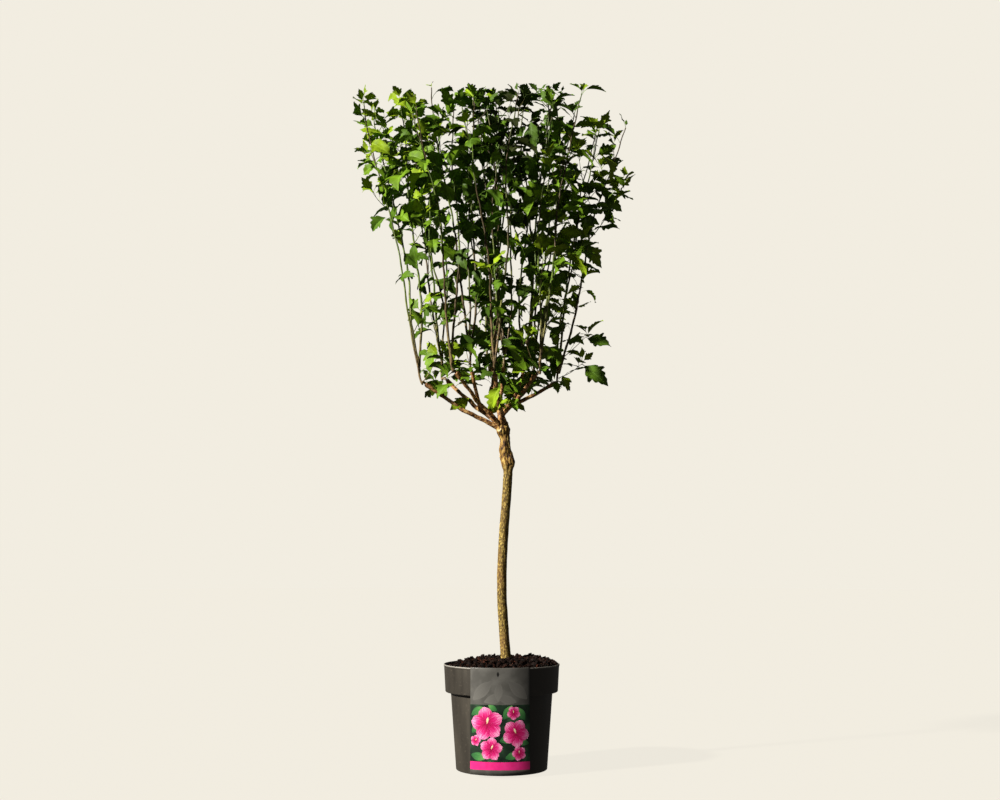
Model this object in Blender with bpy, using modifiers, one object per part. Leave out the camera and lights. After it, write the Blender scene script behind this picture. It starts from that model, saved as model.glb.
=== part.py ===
"""Rose of sharon trained as a standard: a bare stem in its black nursery pot, with a vase-shaped crown.

Metres, +Z up. The origin is the middle of the pot's flat underside, and the front of the pot faces -Y.
The pot is a turned shell filled with compost, and a printed card hooks over its rim. The trunk stands on
the compost and ends in a pruned head. Twelve boughs leave the head, or one another. Each bears one mass
of foliage: a leader and its whips, which rise almost straight and fan out, with the leaves fused on.
"""

import math
import random

import bmesh
import bpy
import numpy as np
from mathutils import Vector

OBJECT_NAME = "rose_of_sharon_standard"
GAP = 0.0003  # clearance between touching pieces

# Pot
POT_HEIGHT = 0.231
RIM_RADIUS = 0.130
RIM_LIP = 0.0008
RIM_LIP_HEIGHT = 0.004
COLLAR_HEIGHT = 0.061
COLLAR_FOOT_RADIUS = 0.126
BODY_TOP_RADIUS = 0.114
BASE_RADIUS = 0.1015
BASE_ROUNDING = 0.003
POT_WALL = 0.0018
POT_FLOOR = 0.003
POT_STEPS = 40
DRAIN_HOLES = 8
DRAIN_RADIUS = 0.006
DRAIN_CIRCLE = 0.080
DRAIN_SIDES = 8

# Compost
SOIL_EDGE_DROP = 0.009  # how far the edge lies below the rim
SOIL_MOUND = 0.013  # how far the ring round the stem rises over the edge, besides its lumps
SOIL_LUMP = 0.004
SOIL_TILT = 0.002  # how much higher the right edge lies, and how much lower the left
SOIL_RINGS = 5
SOIL_STEPS = POT_STEPS  # its facets follow the pot's
SOIL_SEAT = 0.017  # radius of the flat place under the stem

# Card that hooks over the rim
CARD_WIDTH = 0.1335
CARD_THICKNESS = 0.0008
CARD_FOOT = 0.006  # height of its lower edge over the ground
CARD_TAB = 0.007  # how far it reaches down inside the rim
CARD_TURN = math.radians(-1.8)  # how far it hangs to the left of the front
CARD_STEPS = 10

# Trunk: middle line as (x, y, z), from just over its flat cut at the compost to the pruned head
TRUNK_FOOT = 0.2375  # height of the flat cut
TRUNK_LINE = (
    (0.0097, 0.000, 0.2415),
    (0.0007, 0.004, 0.3840),
    (0.0038, 0.002, 0.5040),
    (0.0142, -0.002, 0.6550),
    (0.0087, 0.000, 0.7210),
    (0.0031, 0.000, 0.7710),
)
TRUNK_FOOT_RADIUS = 0.0110
TRUNK_NECK_RADIUS = 0.0102
FLARE, FLARE_HEIGHT = 0.0024, 0.012
KNUCKLE, KNUCKLE_AT, KNUCKLE_LENGTH = 0.0062, 0.689, 0.018
HEAD, HEAD_AT, HEAD_LENGTH = 0.0034, 0.761, 0.014
TRUNK_RINGS = 20
TRUNK_SIDES = 12

# Boughs: name, what each grows from, how far up that, azimuth and reach of its tip seen from the
# trunk's middle, height of its tip, and its radius at the foot. Azimuth 0 is +X, and 270 is the front.
BOUGHS = (
    ("centre", "trunk", 1.00, 112, 0.030, 0.905, 0.0085),
    ("left_low", "trunk", 0.93, 190, 0.165, 0.860, 0.0058),
    ("left", "trunk", 0.97, 152, 0.133, 0.880, 0.0064),
    ("front_left", "trunk", 0.95, 226, 0.131, 0.878, 0.0056),
    ("front", "trunk", 0.97, 268, 0.131, 0.868, 0.0054),
    ("back", "trunk", 0.94, 96, 0.137, 0.872, 0.0056),
    ("right", "centre", 0.28, 8, 0.130, 0.866, 0.0058),
    ("front_right", "centre", 0.16, 312, 0.129, 0.874, 0.0054),
    ("back_right", "centre", 0.20, 54, 0.135, 0.876, 0.0054),
    ("inner_right", "right", 0.24, 330, 0.072, 0.900, 0.0046),
    ("inner_left", "left", 0.40, 205, 0.063, 0.888, 0.0046),
    ("inner_front", "front", 0.34, 282, 0.068, 0.892, 0.0042),
)
BOUGH_TIP_RADIUS = 0.0036
BOUGH_SAG = 0.05  # how far a bough bows under its chord, as a share of its length
BOUGH_BOW_START = 0.35  # share of the bow at its foot, which grows to all of it at the tip
BOUGH_TAPER = 0.8  # power: a bough thins fastest near its foot
BOUGH_RINGS = 7
BOUGH_SIDES = 7

# Crown: for each bough's mass, in the same order, the azimuth, radius and height of its top
HEADS = (
    (110, 0.068, 1.534),
    (188, 0.288, 1.522),
    (150, 0.230, 1.500),
    (226, 0.220, 1.478),
    (268, 0.215, 1.466),
    (98, 0.220, 1.507),
    (6, 0.255, 1.485),
    (312, 0.220, 1.468),
    (52, 0.222, 1.502),
    (345, 0.106, 1.529),
    (212, 0.112, 1.525),
    (278, 0.090, 1.512),
)
CROWN_MIDDLE = (-0.010, 0.0)
FAN_POWER = 1.35  # a whip keeps almost upright at first, and leans out further up
WHIPS = 3
WHIP_SPREAD = 0.062  # how far the tips of one mass stand from its own middle
WHIP_SPREAD_VARIES = (0.75, 1.0)
LEADER_SPREAD = 0.7  # of a side whip's
WHIP_DRAW_IN, WHIP_LEAST_SPREAD = 0.85, 0.004  # a whip that leaves its space is drawn in
WHIP_BEND = 0.8  # power: a side whip leaves the axis fastest near its foot
WHIP_START = (0.015, 0.06)  # how far up the axis a side whip starts
WHIP_TURN_VARIES = 0.3
WHIP_TOP_VARIES = (-0.03, 0.012)
WHIP_MARGIN = 0.004
WHIP_WANDER = 0.006
WANDER_WAVES = 1.3
WHIP_RINGS = 5
WHIP_FOOT_RADIUS = 0.0034  # to the corners of its three-sided section
WHIP_TIP_RADIUS = 0.0020
ELBOW = 0.016  # how far a stem runs on in its bough's direction before it turns up
CELL_MARGIN = 0.0012
SEED = 41

# Crown's outer limit: height, reach to the left and reach to the right
REACH = (
    (0.79, 0.095, 0.065),
    (0.85, 0.195, 0.155),
    (0.94, 0.210, 0.240),
    (1.06, 0.222, 0.232),
    (1.13, 0.280, 0.328),
    (1.21, 0.325, 0.310),
    (1.32, 0.327, 0.349),
    (1.43, 0.352, 0.313),
    (1.51, 0.357, 0.288),
    (1.58, 0.314, 0.272),
)
CROWN_TOP = 1.577
CROWN_DIP = 0.35  # how far the top falls for each metre towards the front

# Leaves: each stands for a leaf with its stalk
LEAF_LENGTH = 0.092
LEAF_WIDTH = 0.064
LEAF_WIDEST = 0.60  # where along its length
LEAF_ROOT = 0.0020  # size of the stalk's root, sunk in the twig
LEAF_FOLD = 0.0022  # how far the blade's widest place lies over the line from root to tip
LEAVES_A_WHIP = 18
LEAF_START = 0.03  # share of the whip that is bare
LEAF_CROWDING = 0.85  # power: leaves stand closer towards the tip
LEAF_SLOPE = (-62, -8)  # degrees: low leaves hang
LEAF_LIFT = 62  # degrees by which the highest leaves rise over that
LEAF_TILT = 0.6  # how far a blade may roll from side to side
LEAF_FACING = 0.5  # how far a blade's upper side turns outwards
LEAF_SIZE_VARIES = (0.88, 1.1)
LEAF_TIP_LOSS = 0.2  # how much smaller the highest leaves are
LEAF_TRIES = 12
LEAF_SHRINK = 0.965  # each new try is for a leaf a little smaller
LEAF_NEW_TURN = math.radians(47)  # and turned by this much more
LEAF_SPACING = 0.009  # between the blades of one mass
LEAF_STALK_SAMPLES = 15  # test places that lie on the stalk
LIMB_CLEARANCE = 0.004
WHIP_CLEARANCE = 0.003
GOLDEN_ANGLE = math.radians(137.5)


def clear_scene():
    """Removes everything that the scene holds."""
    for obj in list(bpy.data.objects):
        bpy.data.objects.remove(obj, do_unlink=True)


def new_collection(name, hidden=False):
    """A collection in the scene; a hidden one is left out of renders."""
    made = bpy.data.collections.new(name)
    bpy.context.scene.collection.children.link(made)
    made.hide_render = hidden
    return made


def finish(name, colour, roughness):
    """A Principled material of one colour."""
    made = bpy.data.materials.new(name)
    made.use_nodes = True
    shader = made.node_tree.nodes["Principled BSDF"]
    shader.inputs["Base Color"].default_value = (*colour, 1.0)
    shader.inputs["Roughness"].default_value = roughness
    shader.inputs["Metallic"].default_value = 0.0
    return made


def mesh_object(name, mesh, collection, material=None):
    """An object that shows a mesh, in a collection."""
    obj = bpy.data.objects.new(name, mesh)
    collection.objects.link(obj)
    if material:
        obj.data.materials.append(material)
    return obj


def mesh_of(work, name):
    """The mesh that a bmesh holds."""
    mesh = bpy.data.meshes.new(name)
    work.to_mesh(mesh)
    work.free()
    return mesh


def evaluated_mesh(obj, name):
    """An object's mesh with its modifiers or its bevel applied, and its doubles merged."""
    bpy.context.view_layer.update()
    graph = bpy.context.evaluated_depsgraph_get()
    mesh = bpy.data.meshes.new_from_object(obj.evaluated_get(graph))
    mesh.name = name
    work = bmesh.new()
    work.from_mesh(mesh)
    bmesh.ops.remove_doubles(work, verts=work.verts, dist=1e-6)
    work.to_mesh(mesh)
    work.free()
    return mesh


def shade_round(obj, degrees):
    """Smooth shading, with an edge wherever two faces meet at more than this angle."""
    obj.data.shade_smooth()
    obj.data.set_sharp_from_angle(angle=math.radians(degrees))


def turn_profile(name, profile, steps, collection, material):
    """A solid of revolution from (radius, height) points that run from the axis back to the axis."""
    mesh = bpy.data.meshes.new(name)
    edges = [(i, i + 1) for i in range(len(profile) - 1)]
    mesh.from_pydata([(r, 0.0, z) for r, z in profile], edges, [])
    obj = mesh_object(name, mesh, collection, material)
    turn = obj.modifiers.new("turn", "SCREW")
    turn.steps = steps
    turn.render_steps = steps
    turn.use_merge_vertices = True
    turn.merge_threshold = 0.00001
    turn.use_smooth_shade = True
    return obj


def cut(obj, cutter, name):
    """Takes a cutter's shape out of an object."""
    made = obj.modifiers.new(name, "BOOLEAN")
    made.operation = "DIFFERENCE"
    made.solver = "EXACT"
    made.object = cutter
    return made


def make_cutter(obj):
    """Leaves an object out of renders and draws it as wire."""
    obj.hide_render = True
    obj.display_type = "WIRE"
    return obj


def collar_foot():
    """Height at which the collar steps in to the pot's body."""
    return POT_HEIGHT - COLLAR_HEIGHT


def collar_inside(height):
    """Radius of the collar's inner side at a height."""
    share = (POT_HEIGHT - height) / COLLAR_HEIGHT
    return RIM_RADIUS + (COLLAR_FOOT_RADIUS - RIM_RADIUS) * share - POT_WALL


def build_pot(collection, cutters):
    """A thin moulded shell: tapering body, wider collar with a fine lip, and a floor with drain holes."""
    step = collar_foot()
    inside = (
        (0.0, POT_FLOOR),
        (BASE_RADIUS - POT_WALL, POT_FLOOR),
        (BODY_TOP_RADIUS - POT_WALL, step + POT_WALL),
        (COLLAR_FOOT_RADIUS - POT_WALL, step + POT_WALL),
        (RIM_RADIUS - POT_WALL, POT_HEIGHT),
    )
    outside = (
        (RIM_RADIUS, POT_HEIGHT),
        (RIM_RADIUS, POT_HEIGHT - RIM_LIP_HEIGHT),
        (RIM_RADIUS - RIM_LIP, POT_HEIGHT - RIM_LIP_HEIGHT - RIM_LIP),
        (COLLAR_FOOT_RADIUS, step),
        (BODY_TOP_RADIUS, step),
        (BASE_RADIUS, BASE_ROUNDING),
        (BASE_RADIUS - BASE_ROUNDING, 0.0),
        (0.0, 0.0),
    )
    plastic = finish("pot_plastic", (0.022, 0.021, 0.020), 0.42)
    pot = turn_profile("pot", inside + outside, POT_STEPS, collection, plastic)
    work = bmesh.new()
    for i in range(DRAIN_HOLES):
        angle = math.tau * (i + 0.5) / DRAIN_HOLES
        made = bmesh.ops.create_cone(
            work, cap_ends=True, segments=DRAIN_SIDES, radius1=DRAIN_RADIUS, radius2=DRAIN_RADIUS,
            depth=4 * POT_FLOOR
        )
        place = Vector((DRAIN_CIRCLE * math.cos(angle), DRAIN_CIRCLE * math.sin(angle), 0.0))
        bmesh.ops.translate(work, verts=made["verts"], vec=place)
    holes = make_cutter(mesh_object("drain_holes", mesh_of(work, "drain_holes"), cutters))
    cut(pot, holes, "drain holes")
    return pot


def soil_height(share, angle):
    """Height of the compost: a mound from the rim to the stem, with lumps between its two ends."""
    edge = POT_HEIGHT - SOIL_EDGE_DROP + SOIL_TILT * math.cos(angle)
    seat = TRUNK_FOOT - GAP
    smooth = edge + (seat - edge) * (1.0 - share)
    between = math.sin(math.pi * share)
    lumps = math.sin(5.0 * angle + 9.0 * share) + math.sin(11.0 * angle - 14.0 * share)
    rise = SOIL_MOUND - (seat - edge) * 0.5
    return smooth + between * (rise + SOIL_LUMP * 0.5 * lumps)


def build_soil(collection):
    """Compost: a body that fills the pot clear of its wall, with a lumpy mound round a flat seat."""
    step = collar_foot()
    floor = POT_FLOOR + GAP
    wall = (
        (BASE_RADIUS - POT_WALL - GAP, floor),
        (BODY_TOP_RADIUS - POT_WALL - GAP, step + POT_WALL + GAP),
        (COLLAR_FOOT_RADIUS - POT_WALL - GAP, step + POT_WALL + GAP),
    )
    edge_radius = collar_inside(POT_HEIGHT - SOIL_EDGE_DROP - SOIL_TILT) - GAP
    foot = TRUNK_LINE[0]
    work = bmesh.new()
    rings = []
    for radius, height in wall:
        rings.append([(radius * math.cos(a), radius * math.sin(a), height) for a in soil_angles()])
    for i in range(SOIL_RINGS, -1, -1):
        share = i / SOIL_RINGS
        ring = []
        for a in soil_angles():
            near = (foot[0] + SOIL_SEAT * math.cos(a), foot[1] + SOIL_SEAT * math.sin(a))
            far = (edge_radius * math.cos(a), edge_radius * math.sin(a))
            x = near[0] + (far[0] - near[0]) * share
            y = near[1] + (far[1] - near[1]) * share
            ring.append((x, y, soil_height(share, a)))
        rings.append(ring)
    loops = [[work.verts.new(p) for p in ring] for ring in rings]
    work.faces.new(loops[0][::-1])
    for low, high in zip(loops, loops[1:]):
        for i in range(SOIL_STEPS):
            j = (i + 1) % SOIL_STEPS
            work.faces.new((low[i], low[j], high[j], high[i]))
    work.faces.new(loops[-1])
    compost = finish("compost", (0.030, 0.020, 0.014), 0.95)
    soil = mesh_object("compost", mesh_of(work, "compost"), collection, compost)
    shade_round(soil, 30)
    return soil


def soil_angles():
    """Azimuths of the compost's points."""
    return [math.tau * i / SOIL_STEPS for i in range(SOIL_STEPS)]


def build_card(collection):
    """The printed card: one sheet bent to the rim, hooked over it and hanging straight down in front."""
    half = CARD_THICKNESS / 2
    facets = math.cos(math.pi / POT_STEPS)  # the wall's flats lie this much inside its corners
    inner = collar_inside(POT_HEIGHT - CARD_TAB) * facets - GAP - half
    outer = RIM_RADIUS + GAP + half
    top = POT_HEIGHT + GAP + half
    path = ((inner, POT_HEIGHT - CARD_TAB), (inner, top), (outer, top), (outer, CARD_FOOT))
    spread = 2 * math.asin(CARD_WIDTH / 2 / outer)
    middle = -math.pi / 2 + CARD_TURN
    work = bmesh.new()
    rows = []
    for i in range(CARD_STEPS + 1):
        angle = middle + spread * (i / CARD_STEPS - 0.5)
        rows.append([work.verts.new((r * math.cos(angle), r * math.sin(angle), z)) for r, z in path])
    for first, second in zip(rows, rows[1:]):
        for k in range(len(path) - 1):
            work.faces.new((first[k], first[k + 1], second[k + 1], second[k]))
    print_colour = finish("printed_card", (0.060, 0.066, 0.062), 0.35)
    card = mesh_object("plant_card", mesh_of(work, "plant_card"), collection, print_colour)
    thick = card.modifiers.new("thickness", "SOLIDIFY")
    thick.thickness = CARD_THICKNESS
    thick.offset = 0.0
    thick.use_even_offset = True
    return card


def spline(points, share):
    """A point on the smooth curve through the points, by Catmull-Rom, at this share of the way."""
    points = np.asarray(points, float)
    place = share * (len(points) - 1)
    i = min(int(place), len(points) - 2)
    t = place - i
    before = points[max(i - 1, 0)]
    after = points[min(i + 2, len(points) - 1)]
    a, b = points[i], points[i + 1]
    return 0.5 * (
        2 * a + (b - before) * t + (2 * before - 5 * a + 4 * b - after) * t**2
        + (3 * a - before - 3 * b + after) * t**3
    )


def swelling(height, size, middle, length):
    """A smooth bump of this size round a height."""
    return size * math.exp(-(((height - middle) / length) ** 2))


def trunk_radius(height):
    """The stem's taper, with its flare at the foot, the graft's knuckle and the pruned head."""
    share = (height - TRUNK_FOOT) / (TRUNK_LINE[-1][2] - TRUNK_FOOT)
    taper = TRUNK_FOOT_RADIUS + (TRUNK_NECK_RADIUS - TRUNK_FOOT_RADIUS) * share
    flare = FLARE * math.exp(-(height - TRUNK_FOOT) / FLARE_HEIGHT)
    knuckle = swelling(height, KNUCKLE, KNUCKLE_AT, KNUCKLE_LENGTH)
    return taper + flare + knuckle + swelling(height, HEAD, HEAD_AT, HEAD_LENGTH)


def trunk_path():
    """Middle line and radii of the trunk, foot to head."""
    line = [spline(TRUNK_LINE, i / (TRUNK_RINGS - 1)) for i in range(TRUNK_RINGS)]
    line.insert(0, np.array((*line[0][:2], TRUNK_FOOT)))
    return line, [trunk_radius(p[2]) for p in line]


def along(line, share):
    """The point at this share of a polyline's rings, and the direction there."""
    place = share * (len(line) - 1)
    i = min(int(place), len(line) - 2)
    step = line[i + 1] - line[i]
    return line[i] + step * (place - i), step / np.linalg.norm(step)


def bough_path(start, tip, radius):
    """Middle line and radii of a bough: a chord that bows down a little and turns up at its tip."""
    chord = tip - start
    length = np.linalg.norm(chord)
    line, radii = [], []
    for i in range(BOUGH_RINGS):
        t = i / (BOUGH_RINGS - 1)
        grown = BOUGH_BOW_START + (1.0 - BOUGH_BOW_START) * t
        bow = BOUGH_SAG * length * math.sin(math.pi * t) * grown
        line.append(start + chord * t - np.array((0.0, 0.0, bow)))
        radii.append(radius + (BOUGH_TIP_RADIUS - radius) * t**BOUGH_TAPER)
    return line, radii


def polar(azimuth, radius, height):
    """A point by azimuth in degrees round the crown's middle, radius and height."""
    a = math.radians(azimuth)
    return np.array(
        (CROWN_MIDDLE[0] + radius * math.cos(a), CROWN_MIDDLE[1] + radius * math.sin(a), height)
    )


def limb_paths():
    """Every limb's name, middle line and radii, in the order in which they grow."""
    limbs = {"trunk": trunk_path()}
    for name, parent, share, azimuth, reach, height, radius in BOUGHS:
        start, heading = along(limbs[parent][0], share)
        if share == 1.0:
            start = start + heading * GAP
        limbs[name] = bough_path(start, polar(azimuth, reach, height), radius)
    return limbs


def profile_curve(sides, guides):
    """A closed polygon of radius 1 that tubes take as their section."""
    curve = bpy.data.curves.new(f"section_{sides}", "CURVE")
    curve.dimensions = "2D"
    ring = curve.splines.new("POLY")
    ring.points.add(sides - 1)
    for i, point in enumerate(ring.points):
        a = -math.tau * i / sides
        point.co = (math.cos(a), math.sin(a), 0.0, 1.0)
    ring.use_cyclic_u = True
    obj = bpy.data.objects.new(curve.name, curve)
    guides.objects.link(obj)
    return make_cutter(obj)


def tube(name, line, radii, section, collection, material=None):
    """A tapering tube with flat ends along a line, made a mesh."""
    curve = bpy.data.curves.new(name, "CURVE")
    curve.dimensions = "3D"
    curve.bevel_mode = "OBJECT"
    curve.bevel_object = section
    curve.use_fill_caps = True
    path = curve.splines.new("POLY")
    path.points.add(len(line) - 1)
    for point, place, radius in zip(path.points, line, radii):
        point.co = (*place, 1.0)
        point.radius = radius
    guide = bpy.data.objects.new(name + "_line", curve)
    collection.objects.link(guide)
    mesh = evaluated_mesh(guide, name)
    bpy.data.objects.remove(guide, do_unlink=True)
    return mesh_object(name, mesh, collection, material)


def build_limbs(collection, cutters, section, trunk_section):
    """The trunk, and the boughs, each cut clear of the limbs that it springs from or beside."""
    limbs = limb_paths()
    bark = finish("stem_bark", (0.235, 0.180, 0.085), 0.75)
    line, radii = limbs["trunk"]
    shade_round(tube("trunk", line, radii, trunk_section, collection, bark), 50)
    made = {"trunk": clearance_cutter("trunk", line, radii, trunk_section, cutters)}
    parents = {row[0]: row[1] for row in BOUGHS}
    for name, parent in parents.items():
        line, radii = limbs[name]
        young = finish(f"bark_{name}", (0.165, 0.085, 0.045), 0.70)
        bough = tube(f"bough_{name}", line, radii, section, collection, young)
        shade_round(bough, 50)
        kin = [other for other in made if parents.get(other) == parent or other in ("trunk", parent)]
        for other in kin:
            cut(bough, made[other], f"clear of {other}")
        trimmed = evaluated_mesh(bough, f"bough_{name}")
        outer_shell(trimmed)
        bough.modifiers.clear()
        bough.data = trimmed
        made[name] = clearance_cutter(name, line, radii, section, cutters)
    return limbs


def clearance_cutter(name, line, radii, section, cutters):
    """A limb's shape grown by the gap, which later limbs are cut with."""
    first, last = line[0] - line[1], line[-1] - line[-2]
    longer = [line[0] + first / np.linalg.norm(first) * GAP, *line[1:-1]]
    longer.append(line[-1] + last / np.linalg.norm(last) * GAP)
    wider = [radius + GAP * 1.2 for radius in radii]
    return make_cutter(tube(f"room_for_{name}", longer, wider, section, cutters))


class Mass:
    """The space of one mass of foliage: the column round an axis that rises from a bough's tip."""

    def __init__(self, number, limbs):
        self.name = BOUGHS[number][0]
        line = limbs[self.name][0]
        self.root, self.heading = along(line, 1.0)
        self.foot = self.root + self.heading * ELBOW
        self.top = polar(*HEADS[number])
        self.random = random.Random(SEED + number)

    def axis(self, height):
        """The axis at a height or at several, as x and y."""
        share = (np.asarray(height) - self.foot[2]) / (self.top[2] - self.foot[2])
        lean = np.clip(share, 0.0, 1.2)[..., None] ** FAN_POWER
        return self.foot[:2] + (self.top[:2] - self.foot[:2]) * lean

    def whip_line(self, start, spread, turn, top, phase):
        """A whip that leaves the axis at the share start, and ends at its own place round the top."""
        line = []
        for i in range(WHIP_RINGS + 1):
            share = start + (1.0 - start) * i / WHIP_RINGS
            own = (share - start) / (1.0 - start)
            height = self.foot[2] + (top - self.foot[2]) * share
            out = spread * own**WHIP_BEND
            wander = WHIP_WANDER * math.sin(math.tau * WANDER_WAVES * own + phase) * min(1.0, 4 * own)
            x, y = self.axis(self.foot[2] + (self.top[2] - self.foot[2]) * share)
            line.append(
                np.array((x + out * math.cos(turn) + wander, y + out * math.sin(turn) - wander, height))
            )
        return line


def holds(masses, mine, points, margin=CELL_MARGIN):
    """True if all points are nearer to this mass's axis than to any other's, and inside the crown."""
    flat, heights = points[:, :2], points[:, 2]
    own = np.linalg.norm(flat - mine.axis(heights), axis=1)
    for other in masses:
        if other is mine:
            continue
        if (np.linalg.norm(flat - other.axis(heights), axis=1) < own + 2 * margin).any():
            return False
    return bool(inside_crown(points).all())


def inside_crown(points):
    """Which points lie within the crown's outer limit."""
    x, y, heights = points.T
    stations = [row[0] for row in REACH]
    left = np.interp(heights, stations, [row[1] for row in REACH])
    right = np.interp(heights, stations, [row[2] for row in REACH])
    wide = np.where(x < 0, left, right)
    deep = (left + right) / 2
    top = CROWN_TOP + CROWN_DIP * np.minimum(y, 0.0)
    return ((x / wide) ** 2 + (y / deep) ** 2 < 1.0) & (heights > stations[0]) & (heights < top)


def limb_distance(points, limbs):
    """How far the nearest of the points lies outside any limb."""
    nearest = 1.0
    for line, radii in limbs.values():
        ends, radii = np.asarray(line), np.asarray(radii)
        step = ends[1:] - ends[:-1]
        share = ((points[:, None] - ends[:-1]) * step).sum(2) / (step * step).sum(1)
        share = np.clip(share, 0.0, 1.0)
        radius = radii[:-1] + (radii[1:] - radii[:-1]) * share
        away = np.linalg.norm(ends[:-1] + step * share[..., None] - points[:, None], axis=2)
        nearest = min(nearest, (away - radius).min())
    return nearest


def grow_whips(mass, masses):
    """The leader and the side whips of a mass, as (line, radii); the first holds the stem."""
    dice = mass.random
    whips = []
    first_turn = dice.uniform(0.0, math.tau)
    for k in range(WHIPS):
        start = 0.0 if k == 0 else dice.uniform(*WHIP_START)
        spread = WHIP_SPREAD * dice.uniform(*WHIP_SPREAD_VARIES) * (LEADER_SPREAD if k == 0 else 1.0)
        turn = first_turn + math.tau * k / WHIPS + dice.uniform(-WHIP_TURN_VARIES, WHIP_TURN_VARIES)
        top = mass.top[2] + dice.uniform(*WHIP_TOP_VARIES)
        phase = dice.uniform(0.0, math.tau)
        line = mass.whip_line(start, spread, turn, top, phase)
        while spread > WHIP_LEAST_SPREAD and not holds(masses, mass, np.array(line[1:]), WHIP_MARGIN):
            spread *= WHIP_DRAW_IN
            line = mass.whip_line(start, spread, turn, top, phase)
        if k == 0:
            line = [mass.root + mass.heading * share for share in (GAP, 0.6 * ELBOW)] + line
        radii = [
            WHIP_FOOT_RADIUS + (WHIP_TIP_RADIUS - WHIP_FOOT_RADIUS) * i / (len(line) - 1)
            for i in range(len(line))
        ]
        whips.append((line, radii))
    return whips


def leaf_points(root, way, up, length, size):
    """Corners of a leaf: a small triangle sunk in the twig, and the blade's left, right and tip."""
    side = np.cross(way, up)
    side /= np.linalg.norm(side)
    face = np.cross(side, way)
    wide = LEAF_WIDTH / LEAF_LENGTH * length / 2
    middle = root + way * length * LEAF_WIDEST + face * LEAF_FOLD
    return [
        root + face * size / 2,
        root - face * size / 2 + side * size / 2,
        root - face * size / 2 - side * size / 2,
        middle + side * wide,
        middle - side * wide,
        root + way * length,
    ]


def leaf_samples(corners):
    """Places all over a leaf, stalk and blade, that are tested against its neighbours."""
    root = (corners[0] + corners[1] + corners[2]) / 3
    left, right, tip = corners[3], corners[4], corners[5]
    middle = (left + right) / 2
    samples = []
    for share in np.linspace(0.08, 1.0, 8):
        half = (left - right) / 2 * share
        samples += [root + (middle - root) * share + half * v for v in (-1, -0.5, 0, 0.5, 1)]
    for share in np.linspace(0.2, 1.0, 5):
        half = (left - right) / 2 * (1 - share)
        samples += [middle + (tip - middle) * share + half * v for v in (-1, -0.5, 0, 0.5, 1)]
    return np.array(samples)


def grow_leaves(mass, masses, whips, limbs):
    """The corners of every leaf of a mass: spaced up its whips at the golden angle."""
    dice = mass.random
    kept, taken = [], []
    for line, radii in whips:
        others = {k: whip for k, whip in enumerate(whips) if whip[0] is not line}
        turn = dice.uniform(0.0, math.tau)
        for i in range(LEAVES_A_WHIP):
            place = ((i + dice.uniform(0.2, 0.8)) / LEAVES_A_WHIP) ** LEAF_CROWDING
            share = LEAF_START + (1.0 - LEAF_START) * place
            root, _ = along(line, min(share, 0.995))
            size = min(LEAF_ROOT, 0.95 * np.interp(share, (0, 1), (radii[0], radii[-1])))
            high = share**2
            for attempt in range(LEAF_TRIES):
                turn += GOLDEN_ANGLE if attempt == 0 else LEAF_NEW_TURN
                slope = math.radians(dice.uniform(*LEAF_SLOPE) + LEAF_LIFT * high)
                out = np.array((math.cos(turn), math.sin(turn), 0.0))
                way = out * math.cos(slope) + np.array((0.0, 0.0, math.sin(slope)))
                roll = [dice.uniform(-LEAF_TILT, LEAF_TILT) for _ in range(2)]
                up = np.array((*roll, LEAF_TILT)) + out * LEAF_FACING
                length = LEAF_LENGTH * dice.uniform(*LEAF_SIZE_VARIES) * (1.0 - LEAF_TIP_LOSS * high)
                corners = leaf_points(root, way, up, length * LEAF_SHRINK**attempt, size)
                samples = leaf_samples(corners)
                if fits(mass, masses, samples, taken, limbs, others):
                    kept.append(corners)
                    taken.append(samples[LEAF_STALK_SAMPLES:])
                    break
    return kept


def fits(mass, masses, samples, taken, limbs, whips):
    """True if a leaf keeps to its mass's space, off the limbs and off the whips and leaves beside it."""
    if not holds(masses, mass, samples):
        return False
    blade = samples[LEAF_STALK_SAMPLES:]
    if taken:
        beside = np.concatenate(taken)
        if np.linalg.norm(beside[None] - blade[:, None], axis=2).min() < LEAF_SPACING:
            return False
    if limb_distance(samples, whips) < WHIP_CLEARANCE:
        return False
    return limb_distance(samples, limbs) > LIMB_CLEARANCE


def leaf_object(name, corners, collection):
    """A leaf as the hull of its corners."""
    work = bmesh.new()
    verts = [work.verts.new(p) for p in corners]
    bmesh.ops.convex_hull(work, input=verts)
    bmesh.ops.recalc_face_normals(work, faces=work.faces)
    return mesh_object(name, mesh_of(work, name), collection)


def outer_shell(mesh):
    """Keeps the largest closed shell of a mesh: loose scraps go, and sealed hollows are filled."""
    work = bmesh.new()
    work.from_mesh(mesh)
    bmesh.ops.triangulate(work, faces=work.faces)
    shells, seen = [], set()
    for start in work.faces:
        if start in seen:
            continue
        shell, edge = [], [start]
        seen.add(start)
        while edge:
            face = edge.pop()
            shell.append(face)
            for beside in (f for e in face.edges for f in e.link_faces if f not in seen):
                seen.add(beside)
                edge.append(beside)
        shells.append(shell)
    shells.sort(key=len)
    spare = [face for shell in shells[:-1] for face in shell]
    bmesh.ops.delete(work, geom=spare, context="FACES")
    work.to_mesh(mesh)
    work.free()


def fuse(name, stem, pieces, collection, material):
    """One Boolean union of a stem with a collection of pieces, applied, and the pieces removed."""
    join = stem.modifiers.new("fuse", "BOOLEAN")
    join.operation = "UNION"
    join.operand_type = "COLLECTION"
    join.collection = pieces
    join.solver = "EXACT"
    mesh = evaluated_mesh(stem, name)
    for obj in [stem, *pieces.objects]:
        bpy.data.objects.remove(obj, do_unlink=True)
    bpy.data.collections.remove(pieces)
    outer_shell(mesh)
    mesh.materials.clear()
    return mesh_object(name, mesh, collection, material)


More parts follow.
